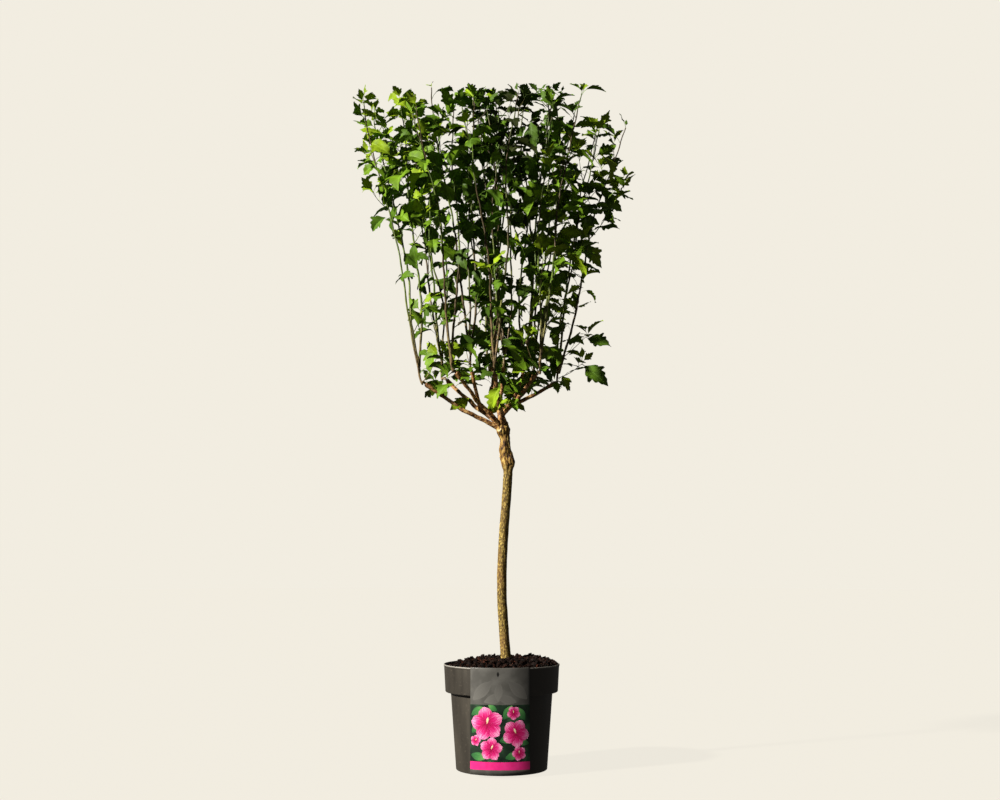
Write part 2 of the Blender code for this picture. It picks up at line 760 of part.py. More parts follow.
def build_masses(collection, limbs, section):
    """The twelve masses of foliage, each fused into one solid."""
    masses = [Mass(number, limbs) for number in range(len(BOUGHS))]
    for number, mass in enumerate(masses):
        whips = grow_whips(mass, masses)
        leaves = grow_leaves(mass, masses, whips, limbs)
        green = finish(f"leaves_{mass.name}", (0.055, 0.150 + 0.006 * number, 0.022), 0.5)
        pieces = new_collection(f"pieces_{mass.name}", hidden=True)
        holder = new_collection(f"stem_{mass.name}", hidden=True)
        stem = tube(f"leader_{mass.name}", *whips[0], section, holder)
        for k, (line, radii) in enumerate(whips[1:]):
            tube(f"whip_{mass.name}_{k}", line, radii, section, pieces)
        for k, corners in enumerate(leaves):
            leaf_object(f"leaf_{mass.name}_{k}", corners, pieces)
        fuse(f"foliage_{mass.name}", stem, pieces, collection, green)
        bpy.data.collections.remove(holder)


clear_scene()
plant = new_collection(OBJECT_NAME)
cutting = new_collection("cutters", hidden=True)
round_section = profile_curve(BOUGH_SIDES, cutting)
trunk_round = profile_curve(TRUNK_SIDES, cutting)
twig_section = profile_curve(3, cutting)
build_pot(plant, cutting)
build_soil(plant)
build_card(plant)
all_limbs = build_limbs(plant, cutting, round_section, trunk_round)
build_masses(plant, all_limbs, twig_section)
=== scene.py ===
"""The looks of a rose of sharon standard in its nursery pot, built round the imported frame.

The sections follow the plant as a nursery puts it together: pot, compost, stem, boughs, whips, leaves
and card. The floor, the light and the camera come last. Metres, +Z up, and the pot's front faces -Y.
"""

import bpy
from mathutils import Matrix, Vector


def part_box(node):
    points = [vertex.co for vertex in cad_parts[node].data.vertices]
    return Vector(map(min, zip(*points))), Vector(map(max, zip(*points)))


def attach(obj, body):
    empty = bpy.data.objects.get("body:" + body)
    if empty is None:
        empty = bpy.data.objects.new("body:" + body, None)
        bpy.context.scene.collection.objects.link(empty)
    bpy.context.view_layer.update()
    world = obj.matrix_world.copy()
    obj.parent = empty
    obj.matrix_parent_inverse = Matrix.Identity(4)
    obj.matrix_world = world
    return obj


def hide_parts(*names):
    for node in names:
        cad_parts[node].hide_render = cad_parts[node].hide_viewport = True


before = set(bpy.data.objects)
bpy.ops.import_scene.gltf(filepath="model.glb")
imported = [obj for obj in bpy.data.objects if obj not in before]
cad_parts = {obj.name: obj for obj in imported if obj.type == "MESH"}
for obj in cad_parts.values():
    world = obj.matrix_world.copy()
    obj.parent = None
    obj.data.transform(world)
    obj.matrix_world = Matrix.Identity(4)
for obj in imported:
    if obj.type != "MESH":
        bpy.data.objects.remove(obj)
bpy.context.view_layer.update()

import math
import random

import bpy
import numpy as np

# Pot. A round nursery container of black recycled plastic, moulded in one piece: a thin tapering body,
# a wide collar that lifts and stacks by its step, a fine lip, and drain holes through its floor. It is
# satin where it is clean, and dusty all over with dried compost in long upright smears and specks.
_, pot_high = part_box("pot")
POT_HEIGHT, RIM_RADIUS = pot_high.z, pot_high.x
COLLAR_FOOT = POT_HEIGHT - 0.061
COLLAR_FOOT_RADIUS = 0.126
BODY_TOP_RADIUS = 0.114
BASE_RADIUS = 0.1015
WALL = 0.0018
FLOOR = 0.003
LIP, LIP_HEIGHT = 0.0008, 0.004
POT_HUB, POT_ROUNDING, POT_STEPS = 0.02, 0.0022, 144
DRAIN_HOLES, DRAIN_RADIUS, DRAIN_CIRCLE, DRAIN_STEPS = 8, 0.006, 0.080, 20
# Where the painted highlight along the top of the lip starts and ends.
LIP_HIGHLIGHT_FROM, LIP_HIGHLIGHT_TO = POT_HEIGHT - 0.0030, POT_HEIGHT - 0.0012


def new_piece(name, points, faces, sharp=None, uv=None):
    """A mesh object at the origin, from an array of points, arrays of faces and each point's UV."""
    mesh = bpy.data.meshes.new(name)
    corners = np.concatenate([group.ravel() for group in faces])
    sizes = np.concatenate([np.full(len(group), group.shape[1]) for group in faces])
    mesh.vertices.add(len(points))
    mesh.vertices.foreach_set("co", np.asarray(points, np.float32).ravel())
    mesh.loops.add(len(corners))
    mesh.loops.foreach_set("vertex_index", corners.astype(np.int32))
    mesh.polygons.add(len(sizes))
    mesh.polygons.foreach_set("loop_start", (np.cumsum(sizes) - sizes).astype(np.int32))
    if uv is not None:
        mesh.uv_layers.new(name="UVMap").data.foreach_set("uv", uv[corners].astype(np.float32).ravel())
    mesh.update(calc_edges=True)
    mesh.validate()
    mesh.shade_smooth()
    if sharp:
        mesh.set_sharp_from_angle(angle=math.radians(sharp))
    made = bpy.data.objects.new(name, mesh)
    bpy.context.scene.collection.objects.link(made)
    return made


def ring_quads(rows, sides):
    """The quads between neighbouring ones of a stack of closed rings, by the numbers of their corners."""
    row, side = np.meshgrid(np.arange(rows - 1), np.arange(sides), indexing="ij")
    beside = (side + 1) % sides
    return np.stack([row * sides + side, row * sides + beside,
                     (row + 1) * sides + beside, (row + 1) * sides + side], -1).reshape(-1, 4)


def skin(rings, start, end):
    """Closed skins over N stacks of rings, as an array N x rings x sides x 3.

    Neighbouring rings are joined by quads, and the first and last ring by fans to the poles start and end.
    """
    count, rows, sides = rings.shape[:3]
    points = np.concatenate([rings.reshape(count, -1, 3), start[:, None], end[:, None]], axis=1)
    side = np.arange(sides)
    beside = (side + 1) % sides
    top = (rows - 1) * sides
    fans = np.concatenate([
        np.stack([np.full(sides, rows * sides), beside, side], -1),
        np.stack([top + side, top + beside, np.full(sides, rows * sides + 1)], -1),
    ])
    shift = np.arange(count)[:, None, None] * (rows * sides + 2)
    quads = (ring_quads(rows, sides) + shift).reshape(-1, 4)
    return points.reshape(-1, 3), [quads, (fans + shift).reshape(-1, 3)]


def rounded(corners, radius, steps=4):
    """A polyline whose corners are parabolic arcs: (1-t)^2 A + 2t(1-t) C + t^2 B round each corner C."""
    corners = np.asarray(corners, float)
    before, here, after = corners[:-2], corners[1:-1], corners[2:]
    back, ahead = before - here, after - here
    back_length = np.linalg.norm(back, axis=1, keepdims=True)
    ahead_length = np.linalg.norm(ahead, axis=1, keepdims=True)
    reach = np.minimum(radius, 0.45 * np.minimum(back_length, ahead_length))
    a, b = here + back / back_length * reach, here + ahead / ahead_length * reach
    t = np.linspace(0.0, 1.0, steps)[None, :, None]
    arcs = (1 - t) ** 2 * a[:, None] + 2 * t * (1 - t) * here[:, None] + t**2 * b[:, None]
    return np.concatenate([corners[:1], arcs.reshape(-1, 2), corners[-1:]])


def cylindrical(radius, angle, height):
    """Points by radius, azimuth and height: (r cos a, r sin a, z)."""
    return np.stack(np.broadcast_arrays(radius * np.cos(angle), radius * np.sin(angle), height), -1)


def turned(profile, steps):
    """Rings of a solid of revolution: radius r and height z of each profile point, at all azimuths."""
    angle = np.linspace(0.0, math.tau, steps, endpoint=False)
    return cylindrical(profile[:, :1], angle, profile[:, 1:])[None]


def node(tree, kind, inputs=None, **settings):
    """A shader node with its settings, and with its inputs set to a value or linked to a socket."""
    made = tree.nodes.new(kind)
    for key, value in settings.items():
        setattr(made, key, value)
    for key, value in (inputs or {}).items():
        if isinstance(value, bpy.types.NodeSocket):
            tree.links.new(value, made.inputs[key])
        else:
            made.inputs[key].default_value = value
    return made


def material(name, colour, roughness, specular=0.5):
    """A Principled material; returns it, its node tree, its shader and its Object coordinates."""
    made = bpy.data.materials.new(name)
    made.use_nodes = True
    tree = made.node_tree
    shader = tree.nodes["Principled BSDF"]
    shader.inputs["Base Color"].default_value = (*colour, 1.0)
    shader.inputs["Roughness"].default_value = roughness
    shader.inputs["Specular IOR Level"].default_value = specular
    return made, tree, shader, node(tree, "ShaderNodeTexCoord").outputs["Object"]


def noise(tree, place, scale, detail=3.0, stretch=(1.0, 1.0, 1.0)):
    """Noise of a scale in waves a metre, drawn out along an axis where its stretch is small."""
    spread = node(tree, "ShaderNodeMapping", {"Vector": place, "Scale": stretch})
    made = node(tree, "ShaderNodeTexNoise", {"Vector": spread.outputs[0], "Scale": scale, "Detail": detail})
    return made.outputs["Fac"]


def ramp(tree, value, stops):
    """Colours along a value, as (position, colour) stops."""
    made = node(tree, "ShaderNodeValToRGB", {"Fac": value})
    band = made.color_ramp
    while len(band.elements) < len(stops):
        band.elements.new(1.0)
    for element, (position, colour) in zip(band.elements, stops):
        element.position = position
        element.color = (*colour, 1.0)
    return made.outputs["Color"]


def between(tree, value, low, high, start=0.3, end=0.7):
    """A value remapped from the range start to end, to low to high."""
    made = node(tree, "ShaderNodeMapRange", {"Value": value, "From Min": start, "From Max": end,
                                             "To Min": low, "To Max": high})
    return made.outputs["Result"]


def blend_colours(tree, share, first, second):
    """A mix of two colours, each a socket or plain numbers."""
    made = node(tree, "ShaderNodeMix", {"Factor": share}, data_type="RGBA")
    for name, colour in (("A", first), ("B", second)):
        socket = next(s for s in made.inputs if s.name == name and s.type == "RGBA")
        if isinstance(colour, bpy.types.NodeSocket):
            tree.links.new(colour, socket)
        else:
            socket.default_value = (*colour, 1.0)
    return next(s for s in made.outputs if s.type == "RGBA")


def relief(tree, shader, height, strength, distance):
    """Bump from a height value, over a distance in metres."""
    bump = node(tree, "ShaderNodeBump", {"Height": height, "Strength": strength, "Distance": distance})
    tree.links.new(bump.outputs["Normal"], shader.inputs["Normal"])


def part_of(tree, place, axis):
    """One coordinate of a place."""
    return node(tree, "ShaderNodeSeparateXYZ", {"Vector": place}).outputs[axis]


def maths(tree, operation, *values):
    """What a Math node makes of its values."""
    return node(tree, "ShaderNodeMath", dict(enumerate(values)), operation=operation).outputs[0]


def paint(tree, shader, colour, roughness=None):
    """Gives a shader its colour and, if it varies, its roughness."""
    tree.links.new(colour, shader.inputs["Base Color"])
    if roughness is not None:
        tree.links.new(roughness, shader.inputs["Roughness"])


def fit(piece, slot, finish, *nodes):
    """Gives a piece its finish and its body, and hides the solids that it stands for. The slot is not used.
    """
    piece.data.materials.append(finish)
    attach(piece, "root")
    if nodes:
        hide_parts(*nodes)
    return piece


def applied(piece, *helpers):
    """Puts a piece's modifiers into its mesh and removes the helper objects that they used."""
    bpy.context.view_layer.update()
    graph = bpy.context.evaluated_depsgraph_get()
    mesh = bpy.data.meshes.new_from_object(piece.evaluated_get(graph))
    piece.modifiers.clear()
    piece.data = mesh
    for helper in helpers:
        bpy.data.objects.remove(helper, do_unlink=True)
    return piece


pot_profile = np.concatenate([
    [(0.0, 0.0)],
    rounded([
        (POT_HUB, 0.0), (BASE_RADIUS, 0.0), (BODY_TOP_RADIUS, COLLAR_FOOT),
        (COLLAR_FOOT_RADIUS, COLLAR_FOOT), (RIM_RADIUS - LIP, POT_HEIGHT - LIP_HEIGHT - LIP),
        (RIM_RADIUS, POT_HEIGHT - LIP_HEIGHT),
        (RIM_RADIUS, POT_HEIGHT), (RIM_RADIUS - WALL, POT_HEIGHT),
        (COLLAR_FOOT_RADIUS - WALL, COLLAR_FOOT + WALL), (BODY_TOP_RADIUS - WALL, COLLAR_FOOT + WALL),
        (BASE_RADIUS - WALL, FLOOR), (POT_HUB, FLOOR),
    ], POT_ROUNDING, 5),
    [(0.0, FLOOR)],
])
pot_rings = turned(pot_profile[1:-1], POT_STEPS)
pot = new_piece("pot_shell", *skin(pot_rings, np.zeros((1, 3)), np.array([[0.0, 0.0, FLOOR]])), sharp=35)

hole_angle = math.tau * (np.arange(DRAIN_HOLES) + 0.5) / DRAIN_HOLES
hole_middle = cylindrical(DRAIN_CIRCLE, hole_angle, 0.0)
hole_profile = np.array([(DRAIN_RADIUS, -2 * FLOOR), (DRAIN_RADIUS, 2 * FLOOR)])
hole_rings = turned(hole_profile, DRAIN_STEPS) + hole_middle[:, None, None]
hole_ends = [hole_middle + (0.0, 0.0, height) for height in hole_profile[:, 1]]
holes = new_piece("drill", *skin(hole_rings, *hole_ends))
drilling = pot.modifiers.new("drain holes", "BOOLEAN")
drilling.operation = "DIFFERENCE"
drilling.object = holes
applied(pot, holes)

plastic, tree, shader, place = material("black_pot_plastic", (0.03, 0.028, 0.025), 0.42, 0.55)
smears = noise(tree, place, 22.0, 5.0, (1.0, 1.0, 0.22))
specks = noise(tree, place, 160.0, 2.0)
dusty = ramp(tree, smears, [(0.34, (0.030, 0.026, 0.021)), (0.56, (0.050, 0.043, 0.033)),
                            (0.76, (0.088, 0.074, 0.053))])
speckled = blend_colours(tree, between(tree, specks, 0.0, 0.5, 0.62, 0.72), dusty, (0.10, 0.085, 0.065))
# Painted highlight: the top of the lip is painted light grey all round, as where its edge catches the light.
lip_highlight = between(tree, part_of(tree, place, "Z"), 0.0, 0.8, LIP_HIGHLIGHT_FROM, LIP_HIGHLIGHT_TO)
paint(tree, shader, blend_colours(tree, lip_highlight, speckled, (0.42, 0.40, 0.355)),
      between(tree, smears, 0.34, 0.58))
relief(tree, shader, noise(tree, place, 900.0, 2.0), 0.25, 0.0002)
fit(pot, "pot_plastic", plastic, "pot")

# Compost. Peat and composted bark that fills the pot to 10 mm under its lip and is heaped towards the
# stem. It lies loose: clods and crumbs of every size, and bits of reddish bark among them.
STEM_FOOT = (0.0097, 0.0)
STEM_CUT = 0.2375
GAP, SIDE_GAP = 0.0003, 0.0004
COLLAR_TAPER = 0.0012
SOIL_SEAT = 0.017
SOIL_EDGE = POT_HEIGHT - 0.010
SOIL_TILT, SOIL_TILT_AZIMUTH = 0.0070, math.radians(5)
SOIL_MOUND, MOUND_POWER = 0.015 - (STEM_CUT - SOIL_EDGE) * 0.4, 1.3
SOIL_RINGS, SOIL_STEPS = 56, 180
CLODS = ((0.0022, 0.018, 3), (0.00099, 0.006, 4))  # height, size and seed
CRUMB_SKEW, CRUMB_CLEARANCE, CRUMB_ROUGHNESS = 1.6, 0.001, (0.62, 1.2)
CRUMB_KINDS = (  # name, number, least and greatest size, shape, how far it is sunk, seed
    ("compost_crumbs", 3600, (0.0011, 0.0042), (1.0, 0.85, 0.7), 0.45, 21),
    ("compost_clods", 560, (0.0035, 0.0078), (1.0, 0.85, 0.70), 0.65, 22),
    ("bark_chips", 300, (0.0025, 0.0050), (1.5, 0.55, 0.35), 0.4, 23),
)
SOIL_COLOURS = {  # dark and light
    "compost_crumbs": ((0.002, 0.001, 0.0005), (0.032, 0.013, 0.007)),
    "compost_clods": ((0.0015, 0.0008, 0.0005), (0.016, 0.006, 0.004)),
    "bark_chips": ((0.020, 0.006, 0.003), (0.110, 0.034, 0.020)),
}


def waves(points, size, seed, count=14):
    """A smooth random field: the sum of plane sine waves about this size long, in random directions."""
    dice = np.random.default_rng(seed)
    way = dice.normal(size=(count, 3))
    way *= math.tau / size * dice.uniform(0.7, 1.5, (count, 1)) / np.linalg.norm(way, axis=1, keepdims=True)
    phase = dice.uniform(0.0, math.tau, count)
    total = np.zeros(points.shape[:-1])
    for direction, start in zip(way, phase):
        total += np.sin(points @ direction + start)
    return total / math.sqrt(count / 2)


def soil_place(share, angle):
    """A point on the heap: from the stem's seat at share 0 to the pot's wall at share 1.

    The height falls in a straight line, a power of a half sine wave heaps it up between, and two wave
    fields add clods. Towards the wall one side rises and the other sinks, by the square of the share.
    """
    wall = RIM_RADIUS - WALL - COLLAR_TAPER
    x = STEM_FOOT[0] + SOIL_SEAT * np.cos(angle)
    y = STEM_FOOT[1] + SOIL_SEAT * np.sin(angle)
    x, y = x + (wall * np.cos(angle) - x) * share, y + (wall * np.sin(angle) - y) * share
    tilt = SOIL_TILT * np.cos(angle - SOIL_TILT_AZIMUTH) * share**2
    heap = np.clip(np.sin(math.pi * share), 0.0, 1.0) ** MOUND_POWER * SOIL_MOUND
    flat = np.stack([x, y, 0 * x], -1)
    clods = sum(high * waves(flat, size, seed) for high, size, seed in CLODS)
    height = SOIL_EDGE + (STEM_CUT - SOIL_EDGE) * (1 - share) + tilt + heap
    height += clods * np.minimum(1.0, 8 * share)
    return np.stack([x, y, height], -1)


share, angle = np.meshgrid(np.linspace(1.0, 0.0, SOIL_RINGS),
                           np.linspace(0.0, math.tau, SOIL_STEPS, endpoint=False), indexing="ij")
heap_rings = soil_place(share, angle)
inside = np.array([(BASE_RADIUS - WALL - SIDE_GAP, FLOOR + GAP),
                   (BODY_TOP_RADIUS - WALL - SIDE_GAP, COLLAR_FOOT + WALL + GAP),
                   (COLLAR_FOOT_RADIUS - WALL - SIDE_GAP, COLLAR_FOOT + WALL + GAP)])
soil_rings = np.concatenate([turned(inside, SOIL_STEPS), heap_rings[None]], axis=1)
soil_ends = [np.array([[0.0, 0.0, FLOOR + GAP]]), np.array([[*STEM_FOOT, STEM_CUT - GAP]])]
compost = new_piece("compost_heap", *skin(soil_rings, *soil_ends))

GOLDEN = (1 + math.sqrt(5)) / 2
ICO_POINTS = np.array([(0, a, b * GOLDEN) for a in (-1, 1) for b in (-1, 1)], float)
ICO_POINTS = np.concatenate([np.roll(ICO_POINTS, turn, axis=1) for turn in range(3)]) / math.hypot(1, GOLDEN)


def hull_faces(points):
    """The triangles of a regular solid: all triples a shortest edge apart, each turned to face outwards."""
    away = np.linalg.norm(points[:, None] - points, axis=2)
    near = (away > 0) & (away < 1.01 * away[away > 0].min())
    triples = [(a, b, c) for a in range(len(points)) for b in range(a) for c in range(b)
               if near[a, b] and near[b, c] and near[a, c]]
    out = [np.linalg.det(points[list(t)]) > 0 for t in triples]
    return np.array([t if facing else t[::-1] for t, facing in zip(triples, out)])


ICO_FACES = hull_faces(ICO_POINTS)


def scatter(name, count, sizes, shape, sink, seed):
    """Crumbs on the heap: rough twenty-sided lumps, each scaled, turned at random and partly sunk.

    A lump's corner lies at its own random share of the lump's size, times the shape's three scales.
    """
    dice = np.random.default_rng(seed)
    size = sizes[0] * (sizes[1] / sizes[0]) ** dice.power(CRUMB_SKEW, count)[:, None, None]
    share, angle = np.sqrt(dice.uniform(0.0, 1.0, count)), dice.uniform(0.0, math.tau, count)
    longest = (size[:, 0, 0] * max(shape) + CRUMB_CLEARANCE) / (RIM_RADIUS - SOIL_SEAT)
    middle = soil_place(np.minimum(share, 1.0 - longest), angle)
    corners = ICO_POINTS * dice.uniform(*CRUMB_ROUGHNESS, (count, len(ICO_POINTS), 1)) * shape * size
    turn = np.linalg.qr(dice.normal(size=(count, 3, 3)))[0]
    turn *= np.sign(np.linalg.det(turn))[:, None, None]
    points = np.einsum("nij,nkj->nki", turn, corners) + middle[:, None]
    points[..., 2] += size[:, 0] * (1.0 - sink)
    faces = (ICO_FACES + np.arange(count)[:, None, None] * len(ICO_POINTS)).reshape(-1, 3)
    return new_piece(name, points.reshape(-1, 3), [faces], sharp=28)


def soil_finish(name, dark, light):
    """Damp compost: dark and light browns in blotches, and a fine grain."""
    made, tree, shader, place = material(name, dark, 0.62, 0.12)
    blotches = noise(tree, place, 110.0, 4.0)
    browns = ramp(tree, blotches, [(0.40, dark), (0.68, light)])
    paint(tree, shader, browns, between(tree, blotches, 0.95, 0.5))
    relief(tree, shader, noise(tree, place, 1400.0, 3.0), 0.7, 0.0006)
    return made


fit(compost, "compost", soil_finish("damp_compost", *SOIL_COLOURS["compost_clods"]), "compost")
for row in CRUMB_KINDS:
    fit(scatter(*row), "compost", soil_finish(f"{row[0]}_finish", *SOIL_COLOURS[row[0]]), "compost")

# Stem. One young trunk, 22 mm thick, bare from the compost to the head where it was pruned to make it
# branch. The bark is smooth, mottled khaki with dark specks and raised pores. Over the old graft, at the
# knuckle, it is brown, cracked and flaky, with a healed split. Three old cuts show pale wood.
STEM_LINE = (
    (*STEM_FOOT, 0.2415), (0.0007, 0.004, 0.3840), (0.0038, 0.002, 0.5040),
    (0.0142, -0.002, 0.6550), (0.0087, 0.000, 0.7210), (0.0031, 0.000, 0.7710),
)
STEM_FOOT_RADIUS, STEM_NECK_RADIUS = 0.0110, 0.0102
FLARE, FLARE_HEIGHT = 0.0024, 0.012
KNUCKLE, KNUCKLE_AT, KNUCKLE_LENGTH = 0.0022, 0.692, 0.026
BULGES = (  # height, azimuth, size, length of the knuckle's and the head's one-sided bulges
    (0.683, math.radians(5), 0.0046, 0.013), (0.707, math.radians(190), 0.0032, 0.024),
    (0.757, math.radians(205), 0.0034, 0.011), (0.737, math.radians(350), 0.0012, 0.014),
)
HEAD, HEAD_AT, HEAD_LENGTH = 0.0034, 0.761, 0.014
STEM_RINGS, STEM_SIDES = 520, 88
PORES, PORE_HEIGHT, PORE_WIDTH, PORE_RISE = 420, 0.0008, 0.0017, 0.00034
RIDGE, RIDGE_SIZE, RIDGE_DRAWN_OUT = 0.00016, 0.005, 0.12
ROUGH_KNUCKLE, ROUGH_HEAD = (1.0, KNUCKLE_AT, 0.040), (0.9, HEAD_AT, 0.022)
LUMPS, LUMPS_DRAWN_OUT = ((0.0007, 0.016, 32), (0.00035, 0.006, 33)), 0.6  # height, size and seed
SPLIT_FOOT, SPLIT_TOP, SPLIT_WIDTH, SPLIT_DEPTH = 0.674, 0.716, 0.0012, 0.0009
SPLIT_AZIMUTH, SPLIT_TURN = math.radians(298), math.radians(-105)
SPLIT_LIP, SPLIT_LIP_AT = 0.5 * SPLIT_DEPTH, 2.4 * SPLIT_WIDTH


def spline(points, shares):
    """Points on the Catmull-Rom curve through the given ones, at each share of its length in spans."""
    points = np.asarray(points, float)
    places = np.clip(shares, 0.0, 1.0) * (len(points) - 1)
    i = np.minimum(places.astype(int), len(points) - 2)
    t = (places - i)[:, None]
    before, a = points[np.maximum(i - 1, 0)], points[i]
    b, after = points[i + 1], points[np.minimum(i + 2, len(points) - 1)]
    return 0.5 * (2 * a + (b - before) * t + (2 * before - 5 * a + 4 * b - after) * t**2
                  + (3 * a - before - 3 * b + after) * t**3)


def swelling(height, size, middle, length):
    """A bump of this size round a height: a bell curve."""
    return size * np.exp(-(((height - middle) / length) ** 2))


def stem_radius(height):
    """The stem's taper plus its flare, which dies out upwards, and the swellings at knuckle and head."""
    share = (height - STEM_CUT) / (STEM_LINE[-1][2] - STEM_CUT)
    taper = STEM_FOOT_RADIUS + (STEM_NECK_RADIUS - STEM_FOOT_RADIUS) * share
    flare = FLARE * np.exp(-(height - STEM_CUT) / FLARE_HEIGHT)
    knots = swelling(height, KNUCKLE, KNUCKLE_AT, KNUCKLE_LENGTH)
    return taper + flare + (knots + swelling(height, HEAD, HEAD_AT, HEAD_LENGTH))


def tubes(lines, radii, sides, bumps=0.0, cap=0.6):
    """Skins of N tubes: each ring lies square to its line, at the radius plus the bumps of every side.

    lines is N x rings x 3, radii N x rings, and the caps stand out by their share of the end radius.
    """
    ahead = np.gradient(lines, axis=1)
    ahead /= np.linalg.norm(ahead, axis=2, keepdims=True)
    mean = np.abs(lines[:, -1] - lines[:, 0])
    guide = np.eye(3)[mean.argmin(axis=1)][:, None]
    across = np.cross(guide, ahead)
    across /= np.linalg.norm(across, axis=2, keepdims=True)
    upward = np.cross(ahead, across)
    angle = np.linspace(0.0, math.tau, sides, endpoint=False)[:, None]
    spoke = across[:, :, None] * np.cos(angle) + upward[:, :, None] * np.sin(angle)
    rings = lines[:, :, None] + spoke * (radii[..., None] + bumps)[..., None]
    start = lines[:, 0] - ahead[:, 0] * radii[:, :1] * cap
    end = lines[:, -1] + ahead[:, -1] * radii[:, -1:] * cap
    return skin(rings, start, end)


def stem_bumps(line, radii):
    """Relief of the bark, on a grid of rings by sides.

    Long ridges are waves drawn out along the stem. Pores are small bell curves strewn over it. Knuckle
    and head are lumpy and bulge to one side, by the square of half of one plus the cosine of the azimuth
    from there. Where the split healed, a groove with a lip on either side climbs round the knuckle.
    """
    angle = np.linspace(0.0, math.tau, STEM_SIDES, endpoint=False)
    height = line[:, 2:]
    column = cylindrical(radii[:, None], angle, RIDGE_DRAWN_OUT * height)
    rough = swelling(height, *ROUGH_KNUCKLE) + swelling(height, *ROUGH_HEAD)
    total = RIDGE * waves(column, RIDGE_SIZE, 31) * (1 + 2 * rough)
    lumps = cylindrical(radii[:, None], angle, LUMPS_DRAWN_OUT * height)
    total += rough * sum(high * waves(lumps, size, seed) for high, size, seed in LUMPS)
    for at, azimuth, size, length in BULGES:
        total += swelling(height, size, at, length) * (0.5 + 0.5 * np.cos(angle - azimuth)) ** 2
    dice = np.random.default_rng(34)
    for _ in range(PORES):
        up, turn = dice.uniform(STEM_CUT, KNUCKLE_AT - 0.02), dice.uniform(0.0, math.tau)
        aside = (angle - turn + math.pi) % math.tau - math.pi
        near = np.abs(line[:, 2] - up) < 4 * PORE_HEIGHT
        total[near] += PORE_RISE * dice.uniform(0.4, 1.0) * np.exp(
            -((height[near] - up) / PORE_HEIGHT) ** 2 - (radii[near, None] * aside / PORE_WIDTH) ** 2)
    climb = (height - SPLIT_FOOT) / (SPLIT_TOP - SPLIT_FOOT)
    aside = (angle - SPLIT_AZIMUTH - SPLIT_TURN * climb + math.pi) % math.tau - math.pi
    open_share = np.clip(np.sin(math.pi * np.clip(climb, 0, 1)), 0, 1) ** 0.5
    off = np.abs(radii[:, None] * aside)
    return total + open_share * (swelling(off, SPLIT_LIP, SPLIT_LIP_AT, SPLIT_WIDTH)
                                 - swelling(off, SPLIT_DEPTH, 0.0, SPLIT_WIDTH))


stem_line = np.concatenate([[(*STEM_FOOT, STEM_CUT)], spline(STEM_LINE, np.linspace(0, 1, STEM_RINGS - 1))])
stem_radii = stem_radius(stem_line[:, 2])
stem = new_piece("stem", *tubes(stem_line[None], stem_radii[None], STEM_SIDES,
                                stem_bumps(stem_line, stem_radii), cap=0.0))

bark, tree, shader, place = material("khaki_bark", (0.26, 0.20, 0.08), 0.72, 0.3)
height = part_of(tree, place, "Z")
mottle = noise(tree, place, 430.0, 5.0, (1.0, 1.0, 0.45))
streaky = ramp(tree, mottle, [(0.37, (0.045, 0.026, 0.006)), (0.46, (0.140, 0.090, 0.018)),
                              (0.55, (0.255, 0.170, 0.031)), (0.64, (0.660, 0.490, 0.135))])
rosy = noise(tree, place, 24.0, 2.0, (1.0, 1.0, 0.35))
tinged = blend_colours(tree, between(tree, rosy, 0.0, 0.50, 0.50, 0.66), streaky, (0.230, 0.105, 0.030))
dots = node(tree, "ShaderNodeTexVoronoi", {"Vector": place, "Scale": 230.0}).outputs["Distance"]
smooth_bark = blend_colours(tree, between(tree, dots, 0.75, 0.0, 0.12, 0.30), tinged, (0.050, 0.028, 0.012))
flakes = noise(tree, place, 190.0, 5.0, (1.0, 1.0, 0.35))
old_bark = ramp(tree, flakes, [(0.38, (0.036, 0.016, 0.005)), (0.47, (0.200, 0.100, 0.022)),
                               (0.56, (0.370, 0.220, 0.046)), (0.68, (0.640, 0.455, 0.140))])
aged = between(tree, height, 0.0, 1.0, KNUCKLE_AT - 0.035, KNUCKLE_AT - 0.012)
paint(tree, shader, blend_colours(tree, aged, smooth_bark, old_bark))
relief(tree, shader, noise(tree, place, 420.0, 5.0, (1.0, 1.0, 0.4)), 0.55, 0.0007)
fit(stem, "stem_bark", bark, "trunk")


def cut_stubs(name, middles, ways, radius, length):
    """Short stubs where shoots were cut off: tubes whose flat ends show the wood, in rings that bulge."""
    share = np.array([0.0, 0.35, 0.75, 0.95, 1.0, 1.0])
    girth = np.array([1.55, 1.25, 1.05, 1.0, 0.93, 0.45])
    ways = ways / np.linalg.norm(ways, axis=1, keepdims=True)
    lines = middles[:, None] + ways[:, None] * (length * share)[None, :, None]
    lines += ways[:, None] * np.linspace(0.0, 1e-4, len(share))[None, :, None]
    radii = np.tile(radius * girth, (len(lines), 1))
    return new_piece(name, *tubes(lines, radii, CUT_SIDES, cap=0.0), sharp=40)


CUT_HEIGHTS = (0.750, 0.744, 0.702)
CUT_AZIMUTHS = np.radians((230, 60, 130))
CUT_RISES = (0.45, 0.5, 0.3)
CUT_RADIUS, CUT_LENGTH, CUT_SIDES = 0.0056, 0.0188, 18
shares = np.linspace(0, 1, 200)
cut_feet = spline(STEM_LINE, np.interp(CUT_HEIGHTS, spline(STEM_LINE, shares)[:, 2], shares))
cut_ways = cylindrical(1.0, CUT_AZIMUTHS, CUT_RISES)
stubs = cut_stubs("pruning_cuts", cut_feet, cut_ways, CUT_RADIUS, CUT_LENGTH)
cut_wood, tree, shader, place = material("cut_wood", (0.55, 0.40, 0.20), 0.7, 0.3)
grain = noise(tree, place, 500.0, 4.0)
paint(tree, shader, ramp(tree, grain, [(0.35, (0.40, 0.26, 0.11)), (0.6, (0.78, 0.64, 0.36))]))
relief(tree, shader, grain, 0.4, 0.0005)
fit(stubs, "stem_bark", cut_wood, "trunk")

